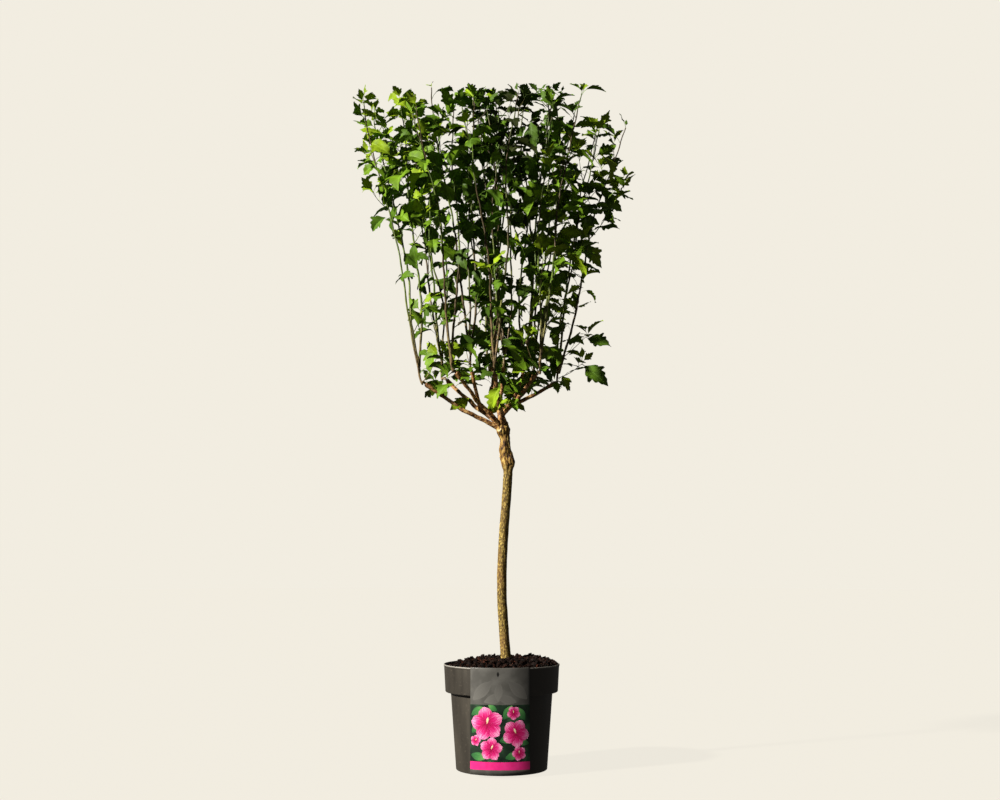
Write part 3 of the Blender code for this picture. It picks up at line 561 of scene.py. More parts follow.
# Boughs. The framework that pruning left: twelve limbs of two-year wood, reddish brown, that leave the
# head or one another with a thick collar. Each has faint rings at its old buds and is thick and knobbly at
# its tip, where it was cut back every winter and new whips break.
CROWN_MIDDLE = (-0.010, 0.0)
BOUGHS = (  # name, what it grows from, the share of that, azimuth, reach and height of its tip, foot radius
    ("centre", "trunk", 1.00, 112, 0.030, 0.905, 0.0085),
    ("left_low", "trunk", 0.93, 190, 0.165, 0.860, 0.0058),
    ("left", "trunk", 0.97, 152, 0.133, 0.880, 0.0064),
    ("front_left", "trunk", 0.95, 226, 0.131, 0.878, 0.0056),
    ("front", "trunk", 0.97, 268, 0.131, 0.868, 0.0054),
    ("back", "trunk", 0.94, 96, 0.137, 0.872, 0.0056),
    ("right", "centre", 0.28, 8, 0.130, 0.866, 0.0058),
    ("front_right", "centre", 0.16, 312, 0.129, 0.874, 0.0054),
    ("back_right", "centre", 0.20, 54, 0.135, 0.876, 0.0054),
    ("inner_right", "right", 0.24, 330, 0.072, 0.900, 0.0046),
    ("inner_left", "left", 0.40, 205, 0.063, 0.888, 0.0046),
    ("inner_front", "front", 0.34, 282, 0.068, 0.892, 0.0042),
)
BOUGH_TIP_RADIUS = 0.0036
BOUGH_SAG = 0.05
BOUGH_RINGS = 7
TRUNK_RINGS = 20
BARK_RINGS, BARK_SIDES = 110, 28
BOUGH_SWAY, BOUGH_SWAY_SIZE = 0.0012, 0.05
BOUGH_COLLAR, BOUGH_COLLAR_LENGTH = 0.45, 0.012
BUD_RING, BUD_SPACING = 0.0004, 0.021
ROUGH_TIP, ROUGH_FOOT, BOUGH_DRAWN_OUT = (3.0, 0.97, 0.08), (2.0, 0.0, 0.1), 0.25
KNOB, KNOB_AT, KNOB_LENGTH = 0.0014, 0.965, 0.06


def along(line, share):
    """The point at this share of a polyline's rings, and the direction there."""
    place = share * (len(line) - 1)
    i = min(int(place), len(line) - 2)
    step = line[i + 1] - line[i]
    return line[i] + step * (place - i), step / np.linalg.norm(step)


def polar(azimuth, radius, height):
    """A point by azimuth in degrees round the crown's middle, radius and height."""
    turn = math.radians(azimuth)
    return np.array((CROWN_MIDDLE[0] + radius * math.cos(turn), CROWN_MIDDLE[1] + radius * math.sin(turn),
                     height))


def bough_path(start, tip, radius):
    """Middle line and radii of a bough: a straight chord less a half sine that grows towards the tip."""
    t = np.linspace(0.0, 1.0, BOUGH_RINGS)
    chord = tip - start
    line = start + chord * t[:, None]
    line[:, 2] -= BOUGH_SAG * np.linalg.norm(chord) * np.sin(math.pi * t) * (0.35 + 0.65 * t)
    return line, radius + (BOUGH_TIP_RADIUS - radius) * t**0.8


def limb_paths():
    """Every limb's middle line and radii, in the order in which they grow."""
    trunk = np.concatenate([[(*STEM_FOOT, STEM_CUT)], spline(STEM_LINE, np.linspace(0, 1, TRUNK_RINGS))])
    limbs = {"trunk": (trunk, stem_radius(trunk[:, 2]))}
    for name, parent, share, azimuth, reach, height, radius in BOUGHS:
        start, heading = along(limbs[parent][0], share)
        if share == 1.0:
            start = start + heading * GAP
        limbs[name] = bough_path(start, polar(azimuth, reach, height), radius)
    return limbs


def bough_bark(number, line, radii):
    """One bough: its line drawn through a spline, with collar, bud rings, knobbly tip and long ridges."""
    share = np.linspace(0.0, 1.0, BARK_RINGS)
    fine = spline(line, share)
    sway = np.stack([waves(fine, BOUGH_SWAY_SIZE, seed + number) for seed in (40, 60)], -1)
    fine[:, :2] += BOUGH_SWAY * sway * np.sin(math.pi * share)[:, None]
    length = np.linalg.norm(line[-1] - line[0])
    girth = np.interp(share, np.linspace(0, 1, len(radii)), radii)
    girth = girth * (1 + BOUGH_COLLAR * np.exp(-share * length / BOUGH_COLLAR_LENGTH))
    girth += BUD_RING * np.maximum(0.0, np.cos(share * length * math.tau / BUD_SPACING)) ** 8
    girth += swelling(share, KNOB, KNOB_AT, KNOB_LENGTH)
    angle = np.linspace(0.0, math.tau, BARK_SIDES, endpoint=False)
    column = cylindrical(girth[:, None], angle, BOUGH_DRAWN_OUT * share[:, None] * length + number)
    rough = 1 + swelling(share, *ROUGH_TIP) + swelling(share, *ROUGH_FOOT)
    bumps = RIDGE * waves(column, RIDGE_SIZE, 80 + number) * rough[:, None]
    return new_piece(f"bark_{BOUGHS[number][0]}",
                     *tubes(fine[None], girth[None], BARK_SIDES, bumps, cap=0.7))


limbs = limb_paths()
young_bark, tree, shader, place = material("reddish_young_bark", (0.17, 0.09, 0.05), 0.62, 0.35)
streaks = noise(tree, place, 170.0, 5.0)
height = part_of(tree, place, "Z")
rind = ramp(tree, streaks, [(0.36, (0.050, 0.020, 0.007)), (0.46, (0.250, 0.110, 0.034)),
                            (0.55, (0.460, 0.235, 0.074)), (0.66, (0.680, 0.470, 0.180))])
brown = blend_colours(tree, between(tree, height, 0.0, 0.6, 0.845, 0.868), rind, (0.420, 0.190, 0.066))
pores = node(tree, "ShaderNodeTexVoronoi", {"Vector": place, "Scale": 320.0}).outputs["Distance"]
paint(tree, shader,
      blend_colours(tree, between(tree, pores, 0.7, 0.0, 0.08, 0.22), brown, (0.46, 0.34, 0.19)))
relief(tree, shader, noise(tree, place, 500.0, 4.0), 0.5, 0.0005)
for number, row in enumerate(BOUGHS):
    fit(bough_bark(number, *limbs[row[0]]), "young_bark", young_bark, f"bough_{row[0]}")

# Whips. One summer's growth: from each bough's tip a leader and two whips rise almost straight and fan
# out into the vase, smooth and green, sunburnt in patches and ripe at the foot. Side shoots break from
# them all the way up and keep to their own mass's space, as the solids do. Two twigs stand outside it.
HEADS = (  # azimuth, reach and height of each mass's top, in the order of the boughs
    (110, 0.068, 1.534), (188, 0.288, 1.522), (150, 0.230, 1.500), (226, 0.220, 1.478),
    (268, 0.215, 1.466), (98, 0.220, 1.507), (6, 0.255, 1.485), (312, 0.220, 1.468),
    (52, 0.222, 1.502), (345, 0.106, 1.529), (212, 0.112, 1.525), (278, 0.090, 1.512),
)
FAN_POWER = 1.35
WHIPS = 3
WHIP_SPREAD = 0.062
WHIP_SPREAD_VARIES = (0.75, 1.0)
LEADER_SPREAD = 0.7
WHIP_DRAW_IN, WHIP_LEAST_SPREAD = 0.85, 0.004
WHIP_BEND = 0.8
WHIP_START = (0.015, 0.06)
WHIP_TURN_VARIES = 0.3
WHIP_TOP_VARIES = (-0.03, 0.012)
WHIP_MARGIN = 0.004
WHIP_WANDER = 0.006
WANDER_WAVES = 1.3
WHIP_RINGS, WHIP_POINTS, WHIP_SIDES = 5, 44, 8
WHIP_TAPER, NODE_SWELL = 0.9, 0.16
WHIP_FOOT_RADIUS, WHIP_TIP_RADIUS = 0.0027, 0.0011
WHIP_BENDS, WHIP_SWAY, WHIP_KINK = 0.28, 0.0026, 0.0012
BEND_SEEDS = (200, 300)
ELBOW, ROOTED = 0.016, 0.002
CELL_MARGIN = 0.0012
SEED = 41
REACH = np.array((  # height, reach to the left, reach to the right
    (0.79, 0.095, 0.065), (0.85, 0.195, 0.155), (0.94, 0.210, 0.240), (1.06, 0.222, 0.232),
    (1.13, 0.280, 0.328), (1.21, 0.325, 0.310), (1.32, 0.327, 0.349), (1.43, 0.352, 0.313),
    (1.51, 0.357, 0.288), (1.58, 0.314, 0.272),
))
CROWN_TOP = 1.577
CROWN_DIP = 0.35
DEEPEST = 0.305
LEAFINESS = np.array((  # height, share
    (0.80, 0.46), (0.93, 0.34), (1.04, 0.32), (1.18, 0.37), (1.30, 0.60), (1.42, 0.61), (1.47, 0.27),
    (1.52, 0.12), (1.60, 0.08),
))
THICKER = (  # x, height, spread sideways, spread up and down, extra share
    (0.22, 1.17, 0.12, 0.14, 2.0), (-0.28, 1.32, 0.14, 0.14, 1.5), (-0.22, 1.08, 0.10, 0.07, 0.5),
    (0.02, 1.38, 0.09, 0.07, 0.6), (-0.10, 0.88, 0.06, 0.06, -0.5),
)
GOLDEN_ANGLE = math.radians(137.5)
NODE_SPACING, SHOOT_GAPS = 0.027, (1.6, 3.4)
SHOOT_STARTS, LAST_SHOOT = (0.08, 0.16), 0.95
SHOOT_TRIES, TRY_TURN, TRY_SHRINK = 4, 0.9, 0.85
SHOOT_SLOPES, SHOOT_LIFT = (18.0, 48.0), 0.42
SHOOT_LENGTHS, SHORTER_UP = (0.035, 0.110), (1.05, 0.45)
OUTWARD, OUTWARD_SHARES, LONGEST_SHOOT = 0.7, (0.45, 0.95), 0.160
SHOOT_LEAF_ROOM = 0.022
OUTER_TWIGS = (
    ((0.141, 0.008, 0.925), (0.170, 0.004, 0.950), (0.196, 0.000, 0.975)),
    ((0.129, 0.014, 0.878), (0.160, 0.010, 0.892), (0.186, 0.006, 0.912)),
)
SHOOT_RADIUS = 0.0011
SHOOT_RINGS, SHOOT_SIDES = 7, 5


class Mass:
    """The space of one mass of foliage: the column round an axis that rises from a bough's tip."""

    def __init__(self, number):
        self.name = BOUGHS[number][0]
        self.root, self.heading = along(limbs[self.name][0], 1.0)
        self.foot = self.root + self.heading * ELBOW
        self.top = polar(*HEADS[number])
        self.random = random.Random(SEED + number)

    def axis(self, height):
        """The axis at each height: straight in plan, and a power of the share of the way up outwards."""
        share = (np.asarray(height) - self.foot[2]) / (self.top[2] - self.foot[2])
        lean = np.clip(share, 0.0, 1.2)[..., None] ** FAN_POWER
        return self.foot[:2] + (self.top[:2] - self.foot[:2]) * lean

    def whip_line(self, start, spread, turn, top, phase):
        """A whip that leaves the axis at the share start, and ends at its own place round the top."""
        own = np.linspace(0.0, 1.0, WHIP_RINGS + 1)
        share = start + (1.0 - start) * own
        out = spread * own**WHIP_BEND
        wander = WHIP_WANDER * np.sin(math.tau * WANDER_WAVES * own + phase) * np.minimum(1.0, 4 * own)
        line = np.empty((len(own), 3))
        line[:, :2] = self.axis(self.foot[2] + (self.top[2] - self.foot[2]) * share)
        line[:, 0] += out * math.cos(turn) + wander
        line[:, 1] += out * math.sin(turn) - wander
        line[:, 2] = self.foot[2] + (top - self.foot[2]) * share
        return line


def inside_crown(points, slack=0.0):
    """Which points lie within the crown's limit: an ellipse at each height, of the reach to either side."""
    x, y, heights = points.T
    left, right = (np.interp(heights, REACH[:, 0], REACH[:, k]) + slack for k in (1, 2))
    wide = np.where(x < 0, left, right)
    deep = (left + right) / 2
    within = (x / wide) ** 2 + (y / deep) ** 2 < 1.0
    top = CROWN_TOP + CROWN_DIP * np.minimum(y, 0.0) + slack
    return within & (heights > REACH[0, 0] - slack) & (heights < top)


def holds(mine, points, margin=CELL_MARGIN):
    """True if all points are nearer to this mass's axis than to any other's, and inside the crown."""
    own = np.linalg.norm(points[:, :2] - mine.axis(points[:, 2]), axis=1)
    for other in masses:
        if other is not mine:
            away = np.linalg.norm(points[:, :2] - other.axis(points[:, 2]), axis=1)
            if (away < own + 2 * margin).any():
                return False
    return bool(inside_crown(points).all())


def grow_whips(mass):
    """The leader and the side whips of a mass, with the draws of the solids and so in the same places."""
    dice = mass.random
    whips = []
    first_turn = dice.uniform(0.0, math.tau)
    for k in range(WHIPS):
        start = 0.0 if k == 0 else dice.uniform(*WHIP_START)
        spread = WHIP_SPREAD * dice.uniform(*WHIP_SPREAD_VARIES) * (LEADER_SPREAD if k == 0 else 1.0)
        turn = first_turn + math.tau * k / WHIPS + dice.uniform(-WHIP_TURN_VARIES, WHIP_TURN_VARIES)
        top = mass.top[2] + dice.uniform(*WHIP_TOP_VARIES)
        phase = dice.uniform(0.0, math.tau)
        line = mass.whip_line(start, spread, turn, top, phase)
        while spread > WHIP_LEAST_SPREAD and not holds(mass, line[1:], WHIP_MARGIN):
            spread *= WHIP_DRAW_IN
            line = mass.whip_line(start, spread, turn, top, phase)
        if k == 0:
            elbow = [mass.root - mass.heading * ROOTED, mass.root + mass.heading * ELBOW * 0.6]
            line = np.concatenate([elbow, line])
        whips.append(line)
    return whips


def bent(line, number):
    """A whip's line with slow bends, two wave fields, and a slight turn to and fro at every node."""
    share = np.linspace(0.0, 1.0, len(line))
    bends = np.stack([waves(line, WHIP_BENDS, seed + number) for seed in BEND_SEEDS], -1)
    kinks = WHIP_KINK * ((np.arange(len(line)) // 2) % 2 - 0.5)
    line[:, :2] += (WHIP_SWAY * bends + kinks[:, None] * (1.0, -1.0)) * np.minimum(1.0, 5 * share)[:, None]
    return line


def room_outside(point, aim):
    """How far a shoot that aims outwards can grow to the crown's limit, or 0 if it aims in."""
    way = np.array((math.cos(aim), math.sin(aim)))
    from_middle = math.hypot(point[0], point[1])
    if way @ point[:2] < OUTWARD * from_middle:
        return 0.0
    left, right = (np.interp(point[2], REACH[:, 0], REACH[:, k]) for k in (1, 2))
    wide = left if way[0] < 0 else right
    deep = min((left + right) / 2, DEEPEST)
    return 1.0 / math.hypot(way[0] / wide, way[1] / deep) - from_middle


def bells(point, rows):
    """The sum of bell curves round places in the crown, as the photo's camera sees them.

    Each row gives a place across and up, the curve's spreads sideways and up and down, and its height.
    """
    total = 0.0
    for across, height, wide, high, amount in rows:
        total += amount * math.exp(-(((point[0] - across) / wide) ** 2) - ((point[2] - height) / high) ** 2)
    return total


def leafiness(point):
    """How closely leaves and shoots stand: by height, times one plus the bell curves of THICKER."""
    return float(np.interp(point[2], LEAFINESS[:, 0], LEAFINESS[:, 1])) * (1.0 + bells(point, THICKER))


def aimed(turn, slope):
    """The way of length 1 at an azimuth and a slope."""
    return np.array((math.cos(turn) * math.cos(slope), math.sin(turn) * math.cos(slope), math.sin(slope)))


def grow_shoots(mass, line, dice):
    """Side shoots of a whip: each leaves a node at an angle and bends up, or is skipped if it won't fit."""
    shoots = []
    length = np.linalg.norm(np.diff(line, axis=0), axis=1).sum()
    turn = dice.uniform(0.0, math.tau)
    t = np.linspace(0.0, 1.0, SHOOT_RINGS)[:, None]
    share = dice.uniform(*SHOOT_STARTS)
    while share < LAST_SHOOT:
        turn += GOLDEN_ANGLE
        for attempt in range(SHOOT_TRIES):
            aim = turn + attempt * TRY_TURN
            out = aimed(aim, math.radians(dice.uniform(*SHOOT_SLOPES)))
            root = along(line, share)[0]
            far = dice.uniform(*SHOOT_LENGTHS) * (SHORTER_UP[0] - SHORTER_UP[1] * share)
            far = min(LONGEST_SHOOT, max(far, dice.uniform(*OUTWARD_SHARES) * room_outside(root, aim)))
            far *= TRY_SHRINK**attempt
            shoot = root + out * far * t + np.array((0.0, 0.0, SHOOT_LIFT * far)) * t**2
            leaf_ends = shoot[-1] + SHOOT_LEAF_ROOM * np.stack([out, (0.0, 0.0, 1.0)])
            if holds(mass, shoot[1:], 0.0) and inside_crown(leaf_ends).all():
                shoots.append(shoot)
                break
        share += dice.uniform(*SHOOT_GAPS) * NODE_SPACING / length / leafiness(root)
    return shoots


masses = [Mass(number) for number in range(len(BOUGHS))]
shoot_dice = random.Random(SEED)
whip_lines, shoot_lines = [], []
for mass in masses:
    for coarse in grow_whips(mass):
        whip = bent(spline(coarse, np.linspace(0.0, 1.0, WHIP_POINTS)), len(whip_lines))
        whip_lines.append(whip)
        shoot_lines += grow_shoots(mass, whip, shoot_dice)
outer_twigs = [spline(twig, np.linspace(0.0, 1.0, SHOOT_RINGS)) for twig in OUTER_TWIGS]
shoot_lines += outer_twigs
whip_lines, shoot_lines = np.array(whip_lines), np.array(shoot_lines)

nodes_up = np.linspace(0.0, 1.0, whip_lines.shape[1])
whip_radii = WHIP_FOOT_RADIUS + (WHIP_TIP_RADIUS - WHIP_FOOT_RADIUS) * nodes_up**WHIP_TAPER
whip_radii = np.tile(whip_radii * (1 + NODE_SWELL * (np.arange(len(nodes_up)) % 2)), (len(whip_lines), 1))
shoot_radii = np.tile(np.linspace(SHOOT_RADIUS, 0.5 * SHOOT_RADIUS, SHOOT_RINGS), (len(shoot_lines), 1))
whips = new_piece("whips", *tubes(whip_lines, whip_radii, WHIP_SIDES))
shoots = new_piece("side_shoots", *tubes(shoot_lines, shoot_radii, SHOOT_SIDES))
foliage_nodes = [f"foliage_{mass.name}" for mass in masses]

green_bark, tree, shader, place = material("whip_bark", (0.30, 0.36, 0.09), 0.5, 0.4)
height = part_of(tree, place, "Z")
fine = noise(tree, place, 90.0, 4.0)
green = ramp(tree, fine, [(0.34, (0.055, 0.095, 0.012)), (0.52, (0.135, 0.205, 0.026)),
                          (0.70, (0.260, 0.320, 0.055))])
ripe = ramp(tree, fine, [(0.35, (0.075, 0.045, 0.022)), (0.60, (0.290, 0.200, 0.090))])
ripening = between(tree, height, 1.0, 0.0, 0.90, 1.08)
soft_tip = ramp(tree, fine, [(0.35, (0.050, 0.085, 0.014)), (0.65, (0.160, 0.230, 0.040))])
upper = blend_colours(tree, between(tree, height, 0.0, 1.0, 1.16, 1.36), green, soft_tip)
sunburnt = ramp(tree, fine, [(0.35, (0.030, 0.020, 0.008)), (0.65, (0.110, 0.075, 0.030))])
burning = between(tree, noise(tree, place, 14.0, 1.0, (1.0, 1.0, 0.25)), 0.0, 1.0, 0.46, 0.56)
upper = blend_colours(tree, burning, upper, sunburnt)
paint(tree, shader, blend_colours(tree, ripening, upper, ripe))
relief(tree, shader, noise(tree, place, 700.0, 3.0), 0.35, 0.0003)
fit(whips, "young_bark", green_bark, *foliage_nodes)
fit(shoots, "young_bark", green_bark, *foliage_nodes)

# Leaves. Thin, opaque and half glossy, up to 84 mm long: wedge-shaped at the foot, three-lobed, with
# blunt teeth, a pale midrib and side veins. Each hangs out from its node on a slim stalk, most lie almost
# level and arch over, and the youngest, at the tips, are small, upright and yellow-green.
# Their tints are dealt out by spray, by place in the crown, as painted light and shade.
MIDRIB = np.array((0.0, 0.06, 0.14, 0.21, 0.25, 0.31, 0.37, 0.45, 0.53, 0.60, 0.66, 0.76, 0.86, 1.0))
EDGE_ALONG = np.array((0.0, 0.11, 0.25, 0.33, 0.35, 0.46, 0.53, 0.52, 0.645, 0.69, 0.70, 0.82, 0.875, 1.0))
EDGE_OUT = np.array((0.012, 0.09, 0.27, 0.325, 0.29, 0.43, 0.415, 0.25, 0.28, 0.235, 0.175, 0.165, 0.10,
                     0.01))
ACROSS = np.array((-1.0, -0.5, 0.0, 0.5, 1.0))
BLADE_ALONG = MIDRIB[:, None] + (EDGE_ALONG - MIDRIB)[:, None] * np.abs(ACROSS) ** 1.2
BLADE_OUT = EDGE_OUT[:, None] * ACROSS
ARCHES, FOLDS, DROOPS, TWISTS = (0.25, 1.5), (0.05, 0.75), (0.0, 1.3), (-0.7, 0.7)
RIPPLES, WIDTHS = (0.015, 0.06), (0.66, 1.00)
STALK_RINGS, STALK_SIDES, STALK_RADIUS, STALK_BOW = 3, 3, 0.0008, 0.12
LEAF_SPACING, SHOOT_LEAF_SPACING, SPACING_VARIES = 0.029, 0.019, (0.65, 1.35)
TUFT, SPRAY = 3, 4
YOUNG_AGE, AGE_STEP, TIP_AGE, GROWN_BY = 0.04, 0.12, 0.12, 0.10  # the last is the length of a growing tip
LEAF_FROM, LEAF_SIZES = (0.06, 0.3), (1.0, 0.9)  # share of the twig that is bare, on whips and on shoots
YOUNG_SIZE, SIZE_GAINED = 0.52, 0.60
LEAN_ALONG, LEAF_SWING, SUN_TURNS, SUNNY_FROM = 0.3, 0.6, (0.0, 1.2), 0.22
FACING_TILT, LEVEL_TILT = 1.1, 0.4
BLADE_LENGTHS = (0.038, 0.084, 0.056)
STALK_LENGTHS = (0.010, 0.030)
YOUNG_RISE, RISE_LOST, RISE_VARIES = 60.0, 36.0, 14.0
YOUNG_SLOPE, SLOPE_LOST, SLOPE_VARIES = 50.0, 58.0, 24.0
FACING_SHARE, HANGING_SHARE, HANGING_DROPS = 0.22, 0.16, (30.0, 60.0)
SUNWARD = np.array((-0.7, -0.7, 0.0))
FORK_SHARES, FORK_AGE, FORK_TURN, LEFT_SIDE = (0.60, 0.85), 0.6, 2.1, -0.06
LIMB_CLEARANCE, CROWN_SLACK = 0.003, 0.004
FORK_LIFT = 0.004
SHRINKS = (1.0, 0.72, 0.5)
DROOPING, LOW_FACE, LOW_SWELL = 0.55, np.array((-0.3, -1.0, 0.5)), 1.2
LOW_LEAVES = (  # what carries it, the node's share of that, then the blade's foot and its tip
    ("front", 0.80, (-0.004, -0.122, 0.842), (-0.023, -0.098, 0.792)),
    ("front", 0.60, (0.014, -0.088, 0.820), (-0.008, -0.084, 0.798)),
    ("left", 0.50, (-0.074, -0.004, 0.831), (-0.108, -0.008, 0.799)),
    ("left_low", 0.72, (-0.122, -0.022, 0.860), (-0.144, -0.030, 0.832)),
    ("front_right", 0.30, (0.028, -0.034, 0.828), (0.036, -0.042, 0.797)),
    ("right", 0.98, (0.125, -0.012, 0.866), (0.128, -0.028, 0.840)),
    ("outer_twig_0", 0.95, (0.199, -0.002, 0.968), (0.243, -0.004, 0.946)),
    ("outer_twig_1", 0.95, (0.191, 0.002, 0.905), (0.236, -0.004, 0.862)),
)
# The tints are lit and shaded copies of one leaf green: each spray takes the one that its painted light and
# shade reaches, a step paler for young leaves and at random.
TINTS = (
    ("yellow_green", (0.230, 0.340, 0.010)),
    ("fresh_green", (0.130, 0.240, 0.010)),
    ("bright_green", (0.080, 0.162, 0.009)),
    ("mid_green", (0.058, 0.114, 0.010)),
    ("deep_green", (0.036, 0.060, 0.008)),
    ("dark_green", (0.024, 0.032, 0.006)),
)
TINT_STEPS, TINT_VARIES, PALER_SHARE = (-0.22, -0.02, 0.18, 0.40), 0.30, 0.16
LIGHTER, DARKER, VEIN_PALER = 1.35, 0.70, (1.5, 0.03)
VEIN_SLANT, VEIN_GAP, VEIN_SHARE = -0.9, 0.13, 0.55
CROWN_FOOT = 0.85
# Painted light and shade of the leaf tints: lighter outwards, upwards, to the sunny left, on the right and
# at the fork, and darker in the painted shade of SHADED.
OUTER_LIGHT, HIGH_LIGHT, SUNNY_LIGHT = 0.45, 0.22, 0.30
RIGHT_LIGHT, FORK_LIGHT = (1.10, 1.15, 0.22), (0.85, 0.82, 0.09)  # amount, height, spread
SHADED = (  # x, height, spread sideways, spread up and down, how much darker
    (0.05, 1.42, 0.09, 0.12, 0.70), (0.20, 1.36, 0.09, 0.16, 0.08), (-0.20, 1.12, 0.08, 0.10, 0.22),
)


def unit(vectors):
    """Vectors of length 1."""
    return vectors / np.linalg.norm(vectors, axis=-1, keepdims=True)


def blade_grid(arch, fold, droop, twist, ripple, phase):
    """Local points of N blades of length 1, as N x stations x 5 x 3: along, across and up.

    The edge swings between lobes, teeth and notches. Height is the fold times the distance from the
    midrib, less the droop times its square, plus a ripple that runs along the edge. Then the blade is
    twisted about its midrib and bent down an arc of the given angle.
    """
    a = np.broadcast_to(BLADE_ALONG, (len(arch), *BLADE_ALONG.shape))
    b = np.broadcast_to(BLADE_OUT, a.shape)
    bends = (arch, fold, droop, twist, ripple, phase)
    arch, fold, droop, twist, ripple, phase = (bend[:, None, None] for bend in bends)
    c = fold * np.abs(b) - droop * b**2 + ripple * np.sin(11.0 * a + phase + ACROSS * 1.3) * ACROSS**2
    turn = twist * a
    b, c = b * np.cos(turn) - c * np.sin(turn), b * np.sin(turn) + c * np.cos(turn)
    swing = arch * a
    return np.stack([np.sin(swing) / arch + c * np.sin(swing), b, (np.cos(swing) - 1.0) / arch
                     + c * np.cos(swing)], -1)


def grid_faces(count, rows, columns, size):
    """Quads of N open grids, each of which starts a block of so many points."""
    row, column = np.meshgrid(np.arange(rows - 1), np.arange(columns - 1), indexing="ij")
    corner = row * columns + column
    quads = np.stack([corner, corner + columns, corner + columns + 1, corner + 1], -1).reshape(-1, 4)
    return (quads + np.arange(count)[:, None, None] * size).reshape(-1, 4)


def leaf_piece(name, rows, dice):
    """All the leaves of one tint, joined: for each a three-sided stalk and a blade.

    A blade's frame is its own way, the side square to it, and the face across both. The stalk is a
    shallow arc from the twig to the blade's foot. Its UV holds the place along and across the blade.
    """
    root, stalk, way, up, length, stalk_length, age = (np.array([row[k] for row in rows]) for k in range(7))
    count = len(root)
    foot = root + stalk * stalk_length[:, None]
    side = unit(np.cross(up, way))
    face = np.cross(way, side)
    arch = dice.uniform(*ARCHES, count) * (0.4 + 0.6 * age)
    bends = [dice.uniform(*limits, count) for limits in (FOLDS, DROOPS, TWISTS, RIPPLES, (0.0, math.tau))]
    grid = blade_grid(arch, *bends) * length[:, None, None, None]
    grid[..., 1] *= dice.uniform(*WIDTHS, count)[:, None, None]
    blade = foot[:, None, None] + (grid[..., :1] * way[:, None, None] + grid[..., 1:2] * side[:, None, None]
                                   + grid[..., 2:] * face[:, None, None])
    t = np.linspace(0.0, 1.0, STALK_RINGS)[None, :, None]
    middle = root[:, None] + (foot - root)[:, None] * t
    middle[:, :, 2] += STALK_BOW * stalk_length[:, None] * np.sin(math.pi * t[..., 0])
    angle = np.arange(STALK_SIDES) * math.tau / STALK_SIDES
    thick = STALK_RADIUS * (length / 0.06)[:, None, None, None]
    tube = middle[:, :, None] + thick * (np.cos(angle)[:, None] * side[:, None, None]
                                         + np.sin(angle)[:, None] * face[:, None, None])
    points = np.concatenate([blade.reshape(count, -1, 3), tube.reshape(count, -1, 3)], axis=1)
    corner = ring_quads(STALK_RINGS, STALK_SIDES) + BLADE_OUT.size
    stalks = (corner + np.arange(count)[:, None, None] * points.shape[1]).reshape(-1, 4)
    place = np.zeros((points.shape[1], 2))
    place[:BLADE_OUT.size] = np.stack([BLADE_ALONG, BLADE_OUT], -1).reshape(-1, 2)
    blades = grid_faces(count, len(MIDRIB), len(ACROSS), points.shape[1])
    return new_piece(name, points.reshape(-1, 3), [blades, stalks], sharp=60, uv=np.tile(place, (count, 1)))


def limb_distance(points):
    """How far the nearest of the points lies outside the stem or a bough."""
    nearest = 1.0
    for line, radii in limbs.values():
        step = line[1:] - line[:-1]
        share = ((points[:, None] - line[:-1]) * step).sum(2) / (step * step).sum(1)
        share = np.clip(share, 0.0, 1.0)
        radius = radii[:-1] + (radii[1:] - radii[:-1]) * share
        away = np.linalg.norm(line[:-1] + step * share[..., None] - points[:, None], axis=2)
        nearest = min(nearest, (away - radius).min())
    return nearest


def grow_leaf(root, heading, turn, age, dice):
    """One leaf's row: root, stalk's way, blade's way, its upper side, both lengths and its age.

    Age runs from 0 at a growing tip to 1. Young leaves are short and upright, old ones long and level,
    and a share of them hang, or are turned to one side. On the sunny left they face the light.
    """
    out = np.array((math.cos(turn), math.sin(turn), 0.0))
    rise = math.radians(YOUNG_RISE - RISE_LOST * age + dice.uniform(-RISE_VARIES, RISE_VARIES))
    stalk = unit(out * math.cos(rise) + np.array((0.0, 0.0, math.sin(rise))) + LEAN_ALONG * heading)
    slope = YOUNG_SLOPE - SLOPE_LOST * age + dice.uniform(-SLOPE_VARIES, SLOPE_VARIES)
    if age > 0.5 and dice.random() < HANGING_SHARE:
        slope -= dice.uniform(*HANGING_DROPS)
    way = aimed(turn + dice.uniform(-LEAF_SWING, LEAF_SWING), math.radians(slope))
    tilt = FACING_TILT if dice.random() < FACING_SHARE else LEVEL_TILT
    up = np.array((dice.uniform(-tilt, tilt), dice.uniform(-tilt, tilt), 1.0))
    up += dice.uniform(*SUN_TURNS) * min(1.0, max(0.0, -root[0] / SUNNY_FROM)) * SUNWARD
    grown = min(1.0, YOUNG_SIZE + SIZE_GAINED * age)
    length = dice.triangular(*BLADE_LENGTHS) * grown
    return root, stalk, way, up, length, dice.uniform(*STALK_LENGTHS) * grown, age


def leaves_on(line, spacing, start, size, dice):
    """Leaves up one twig at the golden angle, and a tuft of the youngest at its tip."""
    length = np.linalg.norm(np.diff(line, axis=0), axis=1).sum()
    turn = dice.uniform(0.0, math.tau)
    place, rows = start * length, []
    while place < length:
        root, heading = along(line, min(place / length, 0.999))
        turn += GOLDEN_ANGLE
        age = min(1.0, (length - place) / GROWN_BY + TIP_AGE)
        rows.append(grow_leaf(root, heading, turn, age * size, dice))
        place += spacing * dice.uniform(*SPACING_VARIES) / leafiness(root)
    tip, heading = along(line, 1.0)
    for k in range(TUFT):
        turn += GOLDEN_ANGLE
        rows.append(grow_leaf(tip, heading, turn, YOUNG_AGE + AGE_STEP * k, dice))
    return rows


def keeps_clear(row):
    """True if a leaf's foot, middle and tip lie inside the crown's limit and off the limbs."""
    root, stalk, way, _, length, stalk_length, _ = row
    foot = root + stalk * stalk_length
    samples = np.array([foot, foot + way * length * 0.5, foot + way * length])
    within = inside_crown(samples, CROWN_SLACK).all() and np.abs(samples[:, 1]).max() < DEEPEST
    return within and limb_distance(samples) > LIMB_CLEARANCE


